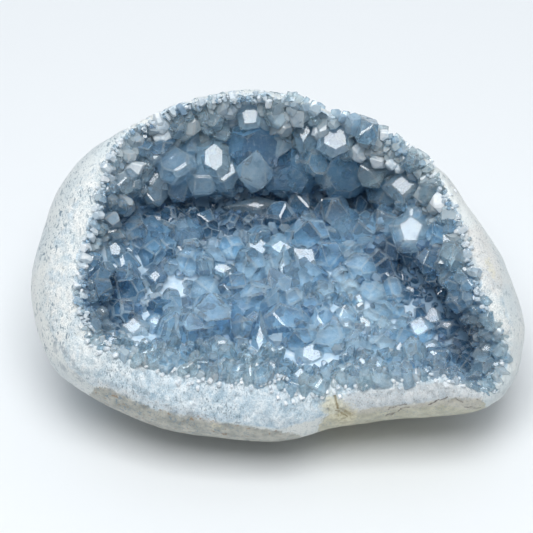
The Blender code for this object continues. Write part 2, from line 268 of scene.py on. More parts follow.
def make_stone():
    fine, coarse = 880, 440
    rings = []                   # (segments, ring of uvw, zone)
    ang_f = np.arange(fine) * 2 * math.pi / fine
    ang_c = np.arange(coarse) * 2 * math.pi / coarse

    def back(phi):
        s = math.sin(phi)
        r = outline_radius(ang_c) * s
        u, v = r * np.cos(ang_c), r * np.sin(ang_c)
        drop = (BACK_DEPTH * (1 + BACK_LEAN * v) * (1 - s ** BACK_POWER) ** 0.5
                * (1 + 0.05 * waves(u, v)))
        return np.stack([u, v, mid_w(u, v) - drop], axis=-1)

    def rim(t, ang):
        r_out, r_in = outline_radius(ang), mouth_radius(ang)
        r = r_out + (r_in - r_out) * t
        u, v = r * np.cos(ang), r * np.sin(ang)
        w = mid_w(r_out * np.cos(ang), r_out * np.sin(ang)) \
            + rim_height(ang) * (1 - (1 - t) ** RIM_POWER) ** 0.5
        return np.stack([u, v, w], axis=-1)

    def hollow(q):
        r = mouth_radius(ang_c) * q
        u, v = r * np.cos(ang_c), r * np.sin(ang_c)
        return np.stack([u, v, hollow_w(u, v)], axis=-1)

    nb = 56
    for k in range(2, nb + 1):
        rings.append(back(math.pi / 2 * k / nb))
    nr = 42
    for k in range(1, nr + 1):
        rings.append(rim((k / nr) ** 1.35, ang_f))
    nh = 26
    for k in range(1, nh):
        rings.append(hollow(1 - k / nh))

    zone = []
    for k, r in enumerate(rings):
        z = 0.0 if k < nb - 1 else (1.0 if k < nb - 1 + nr else 2.0)
        zone += [z] * len(r)
    zone = np.array(zone + [0.0, 2.0])
    poles = np.array([(0, 0, float(mid_w(0, 0)) - BACK_DEPTH * (1 + 0.05 * float(waves(0.0, 0.0)))),
                      (0, 0, float(hollow_w(0.0, 1e-6)))])
    pts = np.concatenate(rings + [poles])
    faces = []
    start = 0
    starts = []
    for r in rings:
        starts.append(start)
        start += len(r)
    for a, (lo, hi) in enumerate(zip(rings[:-1], rings[1:])):
        sa, sb = starts[a], starts[a + 1]
        na, nbb = len(lo), len(hi)
        if na == nbb:
            for i in range(na):
                j = (i + 1) % na
                faces.append((sa + i, sa + j, sb + j, sb + i))
        elif nbb == 2 * na:
            for i in range(na):
                j = (i + 1) % na
                b0, b1, b2 = sb + 2 * i, sb + 2 * i + 1, sb + (2 * i + 2) % nbb
                faces += [(sa + i, b1, b0), (sa + i, sa + j, b1), (sa + j, b2, b1)]
        else:
            for i in range(nbb):
                j = (i + 1) % nbb
                a0, a1, a2 = sa + 2 * i, sa + 2 * i + 1, sa + (2 * i + 2) % na
                faces += [(a0, a1, sb + i), (a1, sb + j, sb + i), (a1, a2, sb + j)]
    p0, p1 = start, start + 1
    n0, n1 = len(rings[0]), len(rings[-1])
    for i in range(n0):
        faces.append((p0, starts[0] + (i + 1) % n0, starts[0] + i))
    for i in range(n1):
        faces.append((p1, starts[-1] + i, starts[-1] + (i + 1) % n1))

    obj = add_mesh("rind_stone", world(pts), faces, smooth_shade=True)
    mesh = obj.data
    n = len(mesh.vertices)
    nor = np.zeros(n * 3)
    mesh.vertices.foreach_get("normal", nor)
    nor = nor.reshape(-1, 3)
    co = world(pts) / MM
    u, v = pts[:, 0], pts[:, 1]
    ang = np.arctan2(v, u)
    r = np.hypot(u, v)
    r_out, r_in = outline_radius(ang), mouth_radius(ang)
    # 0 at the outline, 1 at the mouth, only meaningful on the rim
    t = np.clip((r_out - r) / np.maximum(r_out - r_in, 0.5), 0, 1)
    front = (zone >= 1).astype(float)
    dist_out = (r_out - r) * front
    # the broken, sugary part of the rim lies inside the ground outer band
    sugar = front * smooth(3.0, 6.5, dist_out + 1.2 * fractal(co * 0.16, 2, 5))
    sugar = np.where(zone == 2, 1.0, sugar)
    d1, d2 = cells(co / 1.25, 3)
    grain = (d2 - d1)
    d1b, _ = cells(co / 2.9, 9)
    rough = 0.30 * fractal(co * 0.55, 4, 11, 0.6) + 0.20 * (np.minimum(grain, 0.6) - 0.3) \
        + 0.35 * fractal(co * 0.16, 3, 21)
    pit_seed = fractal(co * 0.42, 2, 31)
    pits = smooth(0.38, 0.62, pit_seed) * 0.55
    calm = 0.30 * fractal(co * 0.035, 3, 41) + 0.05 * fractal(co * 0.5, 3, 51) \
        + 0.55 * (zone == 0) * smooth(2.0, 10.0, co[:, 2]) * fractal(co * 0.075, 4, 43, 0.55)
    pit2 = smooth(0.47, 0.66, fractal(co * 0.33, 2, 61)) * 0.28
    shift = sugar * (rough - pits) + (1 - sugar) * (calm - pit2)
    beside = np.exp(-(np.maximum(r - r_in, 0) / (2.2 + 4.5 * smooth(0.0, -0.5, np.sin(ang)))) ** 2) * front
    shift = shift + beside * (zone < 2) * (1.0 * (0.50 - np.minimum(d1b, 1.0)) + 0.45 * (np.minimum(grain, 0.7) - 0.3))
    shift = np.where(zone == 2, 0.35 * fractal(co * 0.3, 3, 71) - 0.3, shift)
    brink = np.exp(-((r - r_in) / 2.4) ** 2) * front * smooth(0.0, 2.0, r_out - r_in)
    ragged = 1.5 * fractal(co * 0.30, 3, 91, 0.6) * brink
    aside = world(np.stack([np.cos(ang), np.sin(ang), np.zeros(n)], axis=-1)) - world(np.zeros((1, 3)))
    # keep the rest spot flat
    new = co + nor * shift[:, None] + aside / MM * ragged[:, None]
    flat = new[:, 2] < 0.0
    new[flat, 2] = 0.0
    mesh.vertices.foreach_set("co", (new * MM).astype(np.float32).ravel())
    mesh.update()

    def mask(name, values):
        layer = mesh.attributes.new(name, "FLOAT", "POINT")
        layer.data.foreach_set("value", np.clip(values, 0, 1).astype(np.float32))

    wob = fractal(co * 0.20, 3, 81)
    near_mouth = (r - r_in) * front                     # mm outside the mouth's edge
    low = smooth(0.1, -0.5, np.sin(ang))
    reach = 2.0 + 1.2 * low
    blue = np.where(zone == 2, 1.0 - 0.45 * smooth(4, 24, v), np.where(zone == 1, smooth(reach, -1.0, near_mouth + 1.5 * wob), 0.0))
    tan = np.exp(-(run_distance(u, v, [(107, 403), (150, 423), (219, 437), (288, 449)]) / 6.0) ** 4)
    cream = np.exp(-(run_distance(u, v, [(334, 428), (386, 420), (428, 414), (452, 410), (468, 411)]) / 5.3) ** 4)
    sandy = np.exp(-(run_distance(u, v, [(352, 401), (400, 395), (440, 391), (468, 396)]) / 3.6) ** 4)
    sandy = np.maximum(sandy, 0.45 * np.exp(-(run_distance(u, v, [(104, 382), (150, 398), (219, 420)]) / 1.8) ** 2))
    sandy = np.maximum(sandy, 0.8 * np.exp(-(run_distance(u, v, [(474, 236), (484, 256), (494, 282)]) / 3.4) ** 2))
    skin = smooth(-2.0, 0.5, -dist_out + 1.5 + 1.0 * wob)
    sugar = np.where(zone == 2, 1.0, sugar * (1 - np.maximum(tan, cream)))
    # painted shade: the stone of the hollow darkens along its channels, where shade falls
    painted_recess_shade = np.zeros(n)
    for run, extra, half in CHANNELS:
        painted_recess_shade = np.maximum(painted_recess_shade, 0.95 * np.exp(-(run_distance(u, v, run) / (half * 1.15)) ** 2))
    painted_recess_shade = np.where(zone == 2, painted_recess_shade, 0)
    stain = np.exp(-(run_distance(u, v, [(331, 403), (337, 409), (345, 413)]) / 3.4) ** 2)
    stain = np.maximum(stain, 0.42 * np.exp(-(run_distance(u, v, [(487, 262), (493, 276)]) / 1.6) ** 2))
    stain = np.maximum(stain, 0.50 * np.exp(-(run_distance(u, v, [(214, 422), (221, 423)]) / 1.2) ** 2))
    specks = (0.55 + 0.45 * smooth(0.1, -0.6, np.cos(ang))) * (zone < 2)
    # lower marks the bottom of the rim, painted bluer and darker: partly the bluish stone, partly painted shade where
    # the rim faces down
    lower = smooth(-0.25, -0.75, np.sin(ang)) * (zone < 2)
    mask("lower", lower)
    mask("hollow", smooth(0.5, 2.5, r_in - r) * (zone == 2))
    mask("behind", np.where(zone == 0, smooth(0.0, 9.0, -(pts[:, 2] - mid_w(u, v))), 0.0))
    mask("sugar", sugar)
    mask("blue", blue)
    mask("tan", tan * (zone < 2))
    mask("cream", cream * (zone < 2))
    mask("painted_recess_shade", painted_recess_shade)
    mask("stain", stain * (zone < 2))
    mask("sandy", sandy * (zone < 2))
    mask("specks", specks)
    layer = mesh.attributes.new("face", "FLOAT_VECTOR", "POINT")
    layer.data.foreach_set("vector", pts.astype(np.float32).ravel())
    return obj


# ------------------------------------------------------------------ crystals
CELL_A, CELL_B, CELL_C = 8.359, 5.352, 6.866


def face_normal(h, k, l):
    n = np.array((l / CELL_C, k / CELL_B, h / CELL_A))
    return n / np.linalg.norm(n)


def crystal_planes(rng, habit):
    """Half-spaces of a crystal of width about 1 and length about 1, along z."""
    planes = []
    if habit == "wedge":
        for l in (1, -1):
            planes.append((face_normal(0, 0, l), 0.5 * rng.uniform(0.80, 1.05)))
        for k in (1, -1):
            for l in (1, -1):
                planes.append((face_normal(0, k, l), 0.5 * rng.uniform(0.84, 1.08)))
        for k in (1, -1):
            n = face_normal(2, k, 0)
            planes.append((n, (1 + rng.uniform(-0.02, 0.16)) * n[2]))
        for l in (1, -1):
            n = face_normal(1, 0, l)
            planes.append((n, (1 + rng.uniform(0.0, 0.22)) * n[2]))
        if rng.random() < 0.35:
            planes.append((np.array((0, 0, 1.0)), 1 - rng.uniform(0.06, 0.22)))
    elif habit == "block":
        turn = rng.uniform(-0.15, 0.15)
        for k in range(4):
            a = k * math.pi / 2 + turn + rng.uniform(-0.12, 0.12)
            planes.append((np.array((math.cos(a), math.sin(a), 0.0)), 0.5 * rng.uniform(0.78, 1.0)))
        tx, ty = rng.uniform(-0.30, 0.30), rng.uniform(-0.30, 0.30)
        n = np.array((tx, ty, 1.0))
        planes.append((n / np.linalg.norm(n), 0.86))
        for k in range(rng.choice((2, 3, 4))):
            a = k * math.pi / 2 + turn + rng.uniform(0.4, 1.1)
            n = np.array((math.cos(a), math.sin(a), rng.uniform(0.6, 1.1)))
            n /= np.linalg.norm(n)
            planes.append((n, float(n @ np.array((0.30 * math.cos(a), 0.30 * math.sin(a), 0.86)))))
    else:
        sides = rng.choice((5, 6, 6))
        turn = rng.uniform(0, 1)
        for k in range(sides):
            a = (k + turn) * math.tau / sides + rng.uniform(-0.16, 0.16)
            planes.append((np.array((math.cos(a), math.sin(a), rng.uniform(-0.05, 0.10))),
                           0.5 * rng.uniform(0.82, 1.02)))
        count = rng.choice((3, 4, 5))
        for k in range(count):
            a = (k + turn * 0.7) * math.tau / count + rng.uniform(-0.3, 0.3)
            n = np.array((math.cos(a), math.sin(a), rng.uniform(0.75, 1.25)))
            n /= np.linalg.norm(n)
            planes.append((n, n[2] * rng.uniform(0.96, 1.10)))
        if rng.random() < 0.55:
            n = np.array((rng.uniform(-0.2, 0.2), rng.uniform(-0.2, 0.2), 1.0))
            planes.append((n / np.linalg.norm(n), rng.uniform(0.76, 0.90)))
    # the foot tapers to a blunt point, hidden under its neighbours
    for k in range(4):
        a = k * math.pi / 2 + rng.uniform(-0.3, 0.3)
        n = np.array((math.cos(a), math.sin(a), -0.75))
        planes.append((n / np.linalg.norm(n), 0.52))
    planes.append((np.array((0, 0, -1.0)), 0.35))
    return planes


def solid_from_planes(planes, merge=0.004):
    """Corner points and face loops of the body that all half-spaces share."""
    n = np.array([p[0] for p in planes], float)
    d = np.array([p[1] for p in planes], float)
    m = len(d)
    idx = np.array([(i, j, k) for i in range(m) for j in range(i + 1, m) for k in range(j + 1, m)])
    a = n[idx]
    det = np.linalg.det(a)
    ok = np.abs(det) > 1e-4
    idx, a = idx[ok], a[ok]
    p = np.linalg.solve(a, d[idx][..., None])[..., 0]
    inside = np.all(p @ n.T <= d + 1e-6, axis=1)
    p = p[inside]
    corners = []
    for q in p:
        if all(np.linalg.norm(q - c) > merge for c in corners):
            corners.append(q)
    c = np.array(corners)
    faces, ids = [], []
    for i in range(m):
        on = np.where(np.abs(c @ n[i] - d[i]) < merge * 1.05)[0]
        if len(on) < 3:
            continue
        mid = c[on].mean(0)
        ref = c[on[0]] - mid
        ref -= n[i] * (ref @ n[i])
        ref /= np.linalg.norm(ref) + 1e-12
        side = np.cross(n[i], ref)
        order = np.argsort(np.arctan2((c[on] - mid) @ side, (c[on] - mid) @ ref))
        faces.append(tuple(int(x) for x in on[order]))
        ids.append(i)
    edges = {}
    for f in faces:
        for s, e in zip(f, f[1:] + f[:1]):
            edges[(s, e)] = edges.get((s, e), 0) + 1
    closed = all(v == 1 and (e, s) in edges for (s, e), v in edges.items())
    return (c, faces, ids) if closed and len(faces) > 5 else None


def chamfered(planes, width, rng):
    """Adds narrow bevel planes along the edges between the main faces."""
    made = solid_from_planes(planes, 0.0005)
    if made is None:
        return None
    c, faces, ids = made
    n = np.array([p[0] for p in planes], float)
    d = np.array([p[1] for p in planes], float)
    extra = []
    for i in range(len(planes)):
        for j in range(i + 1, len(planes)):
            if n[i][2] < -0.3 or n[j][2] < -0.3:
                continue
            both = (np.abs(c @ n[i] - d[i]) < 1e-3) & (np.abs(c @ n[j] - d[j]) < 1e-3)
            if both.sum() < 2:
                continue
            on = c[both]
            if np.linalg.norm(on[0] - on[-1]) < 0.05:
                continue
            b = n[i] + n[j]
            b /= np.linalg.norm(b)
            extra.append((b, float(on[0] @ b) - width * rng.uniform(0.5, 1.3)))
    made = solid_from_planes(list(planes) + extra, 0.0012)
    if made is None:
        return None
    c, faces, ids = made
    return c, faces, [float(i >= len(planes)) for i in ids]


def make_prototypes(count, seed, bevel=0.0, habits=("wedge", "block", "wedge", "prism")):
    rng = random.Random(seed)
    out = []
    while len(out) < count:
        planes = crystal_planes(rng, habits[len(out) % len(habits)])
        if bevel:
            made = chamfered(planes, bevel, rng)
        else:
            made = solid_from_planes(planes)
            made = made and (made[0], made[1], [0.0] * len(made[1]))
        if made:
            out.append(made)
    return out


def mirror_body(centre, normal, long_dir, half_a, half_b, sides, depth, slant, rng):
    """A crystal whose end face is flat, with a given normal and outline."""
    n0 = np.array(Vector(normal).normalized())
    a = np.array(long_dir, float)
    a -= n0 * (a @ n0)
    a /= np.linalg.norm(a)
    b = np.cross(n0, a)
    unit = 10.0
    half_a, half_b, depth = half_a / unit, half_b / unit, depth / unit
    planes = [(np.array((0, 0, 1.0)), 0.0)]
    for k in range(sides):
        t = (k + 0.5) * math.tau / sides + rng.uniform(-0.12, 0.12)
        r = rng.uniform(0.90, 1.06)
        c, s = math.cos(t) * half_a * r, math.sin(t) * half_b * r
        d = np.array((math.cos(t) / half_a, math.sin(t) / half_b))
        d /= np.linalg.norm(d)
        rise = math.tan(slant * rng.uniform(0.75, 1.25))
        n = np.array((d[0], d[1], 1 / rise))
        n /= np.linalg.norm(n)
        planes.append((n, float(n @ np.array((c, s, 0)))))
        out_by = depth * 0.30
        planes.append((np.array((d[0], d[1], 0.0)), float(d @ np.array((c, s))) + out_by * rng.uniform(0.7, 1.2)))
    planes.append((np.array((0, 0, -1.0)), depth))
    made = chamfered(planes, 0.014, rng)
    if made is None:
        made = solid_from_planes(planes, 0.002)
        made = made and (made[0], made[1], [0.0] * len(made[1]))
    if made is None:
        return None
    c, faces, flags = made
    basis = np.stack([a, b, n0], axis=0)
    return (c * unit) @ basis + np.array(centre), faces, flags


def surface_frames(u, v):
    """Points and normals of the hollow's surface for arrays of u, v."""
    e = 1.5
    w = hollow_w(u, v)
    du = (hollow_w(u + e, v) - hollow_w(u - e, v)) / (2 * e)
    dv = (hollow_w(u, v + e) - hollow_w(u, v - e)) / (2 * e)
    nor = np.stack([-du, -dv, np.ones_like(du)], axis=-1)
    return np.stack([u, v, w], axis=-1), nor / np.linalg.norm(nor, axis=-1, keepdims=True)


def rim_frames(ang, t):
    """Points and normals of the rim: t is 0 at the outline, 1 at the mouth."""
    def at(a, s):
        r_out, r_in = outline_radius(a), mouth_radius(a)
        r = r_out + (r_in - r_out) * s
        w = mid_w(r_out * np.cos(a), r_out * np.sin(a)) \
            + rim_height(a) * (1 - (1 - s) ** RIM_POWER) ** 0.5
        return np.stack([r * np.cos(a), r * np.sin(a), w], axis=-1)
    p = at(ang, t)
    da = at(ang + 0.01, t) - at(ang - 0.01, t)
    ds = at(ang, np.clip(t + 0.03, 0, 1)) - at(ang, np.clip(t - 0.03, 0, 1))
    nor = np.cross(da, -ds)
    return p, nor / np.linalg.norm(nor, axis=-1, keepdims=True)


def sight_point(x, y, w):
    """The point at height w that the camera sees at the pixel x, y."""
    cu, cv = uv_of(266.5, 266.5)
    u, v = uv_of(x, y)
    k = (VIEW_DIST - w) / (VIEW_DIST + 8.0)
    return np.array((cu + (u - cu) * k, cv + (v - cv) * k, w))


def turn_to(axis, spin):
    q = Vector(axis).to_track_quat("Z", "Y").to_matrix()
    return np.array(q @ Matrix.Rotation(spin, 3, "Z"))


CREST = [math.atan2(*reversed(uv_of(x, y))) for x, y in ((430, 158), (292, 92))]
FACETS = []                   # (u, v as seen, radius, w) of facets kept in sight


def on_crest(ang):
    """1 where crystals, and not the rim, make the silhouette."""
    return smooth(CREST[0] - 0.10, CREST[0] + 0.04, ang) * smooth(CREST[1] + 0.10, CREST[1] - 0.04, ang)


def as_seen(pts):
    """u, v of points moved along the line of sight to the layout plane."""
    cu, cv = uv_of(266.5, 266.5)
    k = (VIEW_DIST - pts[:, 2]) / (VIEW_DIST + 8.0)
    return np.stack([cu + (pts[:, 0] - cu) / k, cv + (pts[:, 1] - cv) / k], axis=-1)


def held_in(pts):
    """The points moved inward as far as they stand past the silhouette."""
    flat = as_seen(pts)
    ang = np.arctan2(flat[:, 1], flat[:, 0])
    over = np.hypot(flat[:, 0], flat[:, 1]) - outline_radius(ang) - np.where(on_crest(ang) > 0.5, 0.9, -0.7)
    k = int(np.argmax(over))
    if over[k] > 0:
        pts = pts - np.array((math.cos(ang[k]), math.sin(ang[k]), 0.0)) * over[k]
    return pts


def hides_facet(root, axis, width, length):
    if not FACETS:
        return False
    pts = root + axis * (length * np.array((0.45, 0.65, 0.85, 1.0)))[:, None]
    flat = as_seen(pts)
    for u, v, radius, w in FACETS:
        near_by = np.hypot(flat[:, 0] - u, flat[:, 1] - v) < radius + 0.36 * width
        if np.any(near_by & (pts[:, 2] > w - 0.8)):
            return True
    return False


class Crystals:
    """Placed crystals, grown together into one closed body."""

    def __init__(self, name):
        self.name, self.items = name, []

    def add(self, proto, root, axis, spin, width, depth, length, tint):
        if hides_facet(np.array(root), np.array(axis), width, length):
            return
        c, faces, flags = proto
        pts = (c * np.array((width, depth, length))) @ turn_to(axis, spin).T + np.array(root)
        self.items.append((held_in(pts), faces, tint, flags))

    def add_body(self, made, tint):
        pts, faces, flags = made
        self.items.append((pts, faces, tint, flags))

    def group_mesh(self, members, name):
        verts, faces, tint, edge, count = [], [], [], [], 0
        for k in members:
            pts, fs, t, flags = self.items[k]
            edge += flags
            verts.append(pts)
            faces += [tuple(i + count for i in f) for f in fs]
            tint += [t + 0.16 * (((k * 7 + j * 5) % 11) / 5.0 - 1.0) for j in range(len(fs))]
            count += len(pts)
        obj = add_mesh(name, world(np.concatenate(verts)), faces)
        layer = obj.data.attributes.new("tint", "FLOAT", "FACE")
        layer.data.foreach_set("value", np.array(tint, np.float32))
        # edge marks the chamfer faces, which the crystal materials paint pale as a painted highlight
        layer = obj.data.attributes.new("edge", "FLOAT", "FACE")
        layer.data.foreach_set("value", np.array(edge, np.float32))
        return obj

    def build(self):
        lo = np.array([item[0].min(0) for item in self.items]) - 0.05
        hi = np.array([item[0].max(0) for item in self.items]) + 0.05
        groups = []
        for k in range(len(self.items)):
            for g in groups:
                idx = np.array(g)
                if not np.any(np.all((lo[idx] < hi[k]) & (hi[idx] > lo[k]), axis=1)):
                    g.append(k)
                    break
            else:
                groups.append([k])
        whole = self.group_mesh(groups[0], self.name)
        for n, g in enumerate(groups[1:]):
            other = self.group_mesh(g, self.name + "_part")
            mod = whole.modifiers.new("join", "BOOLEAN")
            mod.operation, mod.solver, mod.object = "UNION", "MANIFOLD", other
            graph = bpy.context.evaluated_depsgraph_get()
            mesh = bpy.data.meshes.new_from_object(whole.evaluated_get(graph))
            whole.modifiers.remove(mod)
            old = whole.data
            whole.data = mesh
            bpy.data.meshes.remove(old)
            gone = other.data
            bpy.data.objects.remove(other)
            bpy.data.meshes.remove(gone)
        whole.data.name = self.name
        print(self.name, len(self.items), "crystals in", len(groups), "groups,",
              sum(len(p.vertices) - 2 for p in whole.data.polygons), "triangles")
        return whole


class Scatter:
    """Spaced spots; every accepted spot keeps later ones at a distance."""

    def __init__(self, seed):
        self.rand = np.random.default_rng(seed)
        self.pts = np.zeros((0, 3))
        self.rad = np.zeros(0)

    def block(self, point, size):
        self.pts = np.vstack([self.pts, point])
        self.rad = np.append(self.rad, size)

    def fill(self, pts, nors, sizes, spread, count):
        out = []
        for p, n, s in zip(pts, nors, sizes):
            if len(out) >= count:
                break
            if s <= 0:
                continue
            if len(self.pts) and np.any(np.linalg.norm(self.pts - p, axis=1) < spread * (self.rad + s)):
                continue
            self.block(p, s)
            out.append((p, n, s))
        return out

    def hollow_candidates(self, n, q_lo=0.0, q_hi=0.99):
        ang = self.rand.uniform(-math.pi, math.pi, n)
        q = np.sqrt(self.rand.uniform(q_lo ** 2, q_hi ** 2, n))
        r = mouth_radius(ang) * q
        u, v = r * np.cos(ang), r * np.sin(ang)
        pts, nor = surface_frames(u, v)
        keep = self.rand.uniform(0, 1, n) < 0.30 / np.maximum(nor[:, 2], 0.30)
        return pts[keep], nor[keep], q[keep]


# ------------------------------------------------------------------ materials

def new_material(name):
    mat = bpy.data.materials.new(name)
    mat.use_nodes = True
    nt = mat.node_tree
    for node in list(nt.nodes):
        nt.nodes.remove(node)
    out = nt.nodes.new("ShaderNodeOutputMaterial")
    bsdf = nt.nodes.new("ShaderNodeBsdfPrincipled")
    nt.links.new(bsdf.outputs["BSDF"], out.inputs["Surface"])
    return mat, nt, bsdf, out


def node(nt, kind, **values):
    nd = nt.nodes.new(kind)
    for key, value in values.items():
        if hasattr(nd, key):
            setattr(nd, key, value)
        else:
            nd.inputs[key.replace("_", " ")].default_value = value
    return nd


def ramp(nt, fac, stops):
    nd = nt.nodes.new("ShaderNodeValToRGB")
    el = nd.color_ramp.elements
    while len(el) > 1:
        el.remove(el[-1])
    el[0].position = stops[0][0]
    el[0].color = (*stops[0][1], 1)
    for pos, col in stops[1:]:
        e = el.new(pos)
        e.color = (*col, 1)
    nt.links.new(fac, nd.inputs["Fac"])
    return nd.outputs["Color"]


def grey(x):
    return (x, x, x)


def mixc(nt, fac, a, b, mode="MIX"):
    nd = nt.nodes.new("ShaderNodeMix")
    nd.data_type = "RGBA"
    nd.blend_type = mode
    nd.clamp_factor = True
    for sock, val in ((nd.inputs[0], fac), (nd.inputs[6], a), (nd.inputs[7], b)):
        if isinstance(val, (int, float)):
            sock.default_value = val
        elif isinstance(val, tuple):
            sock.default_value = (*val, 1)
        else:
            nt.links.new(val, sock)
    return nd.outputs[2]


def math_node(nt, op, a, b=0.0, clamp=False):
    nd = nt.nodes.new("ShaderNodeMath")
    nd.operation = op
    nd.use_clamp = clamp
    for sock, val in ((nd.inputs[0], a), (nd.inputs[1], b)):
        if isinstance(val, (int, float)):
            sock.default_value = val
        else:
            nt.links.new(val, sock)
    return nd.outputs[0]


def noise(nt, coord, scale, detail=4.0, rough=0.55, distortion=0.0):
    nd = nt.nodes.new("ShaderNodeTexNoise")
    nd.inputs["Scale"].default_value = scale
    nd.inputs["Detail"].default_value = detail
    nd.inputs["Roughness"].default_value = rough
    nd.inputs["Distortion"].default_value = distortion
    nt.links.new(coord, nd.inputs["Vector"])
    return nd.outputs["Fac"]


def attribute(nt, name):
    nd = nt.nodes.new("ShaderNodeAttribute")
    nd.attribute_name = name
    return nd.outputs["Fac"]


def near(nt, coord, uvw, radius, hardness=0.5):
    """1 near a point of the face frame (mm), falling to 0 at radius (mm)."""
    p = world(uvw)
    nd = nt.nodes.new("ShaderNodeVectorMath")
    nd.operation = "DISTANCE"
    nt.links.new(coord, nd.inputs[0])
    nd.inputs[1].default_value = tuple(p)
    mp = nt.nodes.new("ShaderNodeMapRange")
    mp.inputs["From Min"].default_value = radius * MM
    mp.inputs["From Max"].default_value = radius * MM * hardness
    nt.links.new(nd.outputs["Value"], mp.inputs["Value"])
    return mp.outputs["Result"]


def vec_attribute(nt, name):
    nd = nt.nodes.new("ShaderNodeAttribute")
    nd.attribute_name = name
    return nd.outputs["Vector"]


def scaled(nt, vec, factors):
    nd = nt.nodes.new("ShaderNodeVectorMath")
    nd.operation = "MULTIPLY"
    nt.links.new(vec, nd.inputs[0])
    nd.inputs[1].default_value = factors
    return nd.outputs[0]


def crisp(nt, value, wobble, amount, at=0.5, width=0.12):
    """A mask with a sharp but ragged edge."""
    v = math_node(nt, "ADD", value, math_node(nt, "MULTIPLY", math_node(nt, "SUBTRACT", wobble, 0.5), amount))
    return ramp(nt, v, [(at - width / 2, grey(0.0)), (at + width / 2, grey(1.0))])


def line_mask(nt, face, start_px, end_px, half):
    """1 on a line between two spots of the face, half its width in mm."""
    (ax, ay), (bx, by) = uv_of(*start_px), uv_of(*end_px)
    length2 = (bx - ax) ** 2 + (by - ay) ** 2

    def vec(op, a, b):
        nd = nt.nodes.new("ShaderNodeVectorMath")
        nd.operation = op
        for sock, val in ((nd.inputs[0], a), (nd.inputs[1], b)):
            if isinstance(val, tuple):
                sock.default_value = val
            else:
                nt.links.new(val, sock)
        return nd

    flat = vec("MULTIPLY", vec("SUBTRACT", face, (ax, ay, 0.0)).outputs[0], (1.0, 1.0, 0.0)).outputs[0]
    along = math_node(nt, "MULTIPLY", vec("DOT_PRODUCT", flat, (bx - ax, by - ay, 0.0)).outputs["Value"],
                      1.0 / length2, clamp=True)
    foot = nt.nodes.new("ShaderNodeVectorMath")
    foot.operation = "SCALE"
    foot.inputs[0].default_value = (bx - ax, by - ay, 0.0)
    nt.links.new(along, foot.inputs["Scale"])
    gap = vec("DISTANCE", flat, foot.outputs[0]).outputs["Value"]
    mp = nt.nodes.new("ShaderNodeMapRange")
    mp.inputs["From Min"].default_value = half
    mp.inputs["From Max"].default_value = half * 0.35
    nt.links.new(gap, mp.inputs["Value"])
    return mp.outputs["Result"]


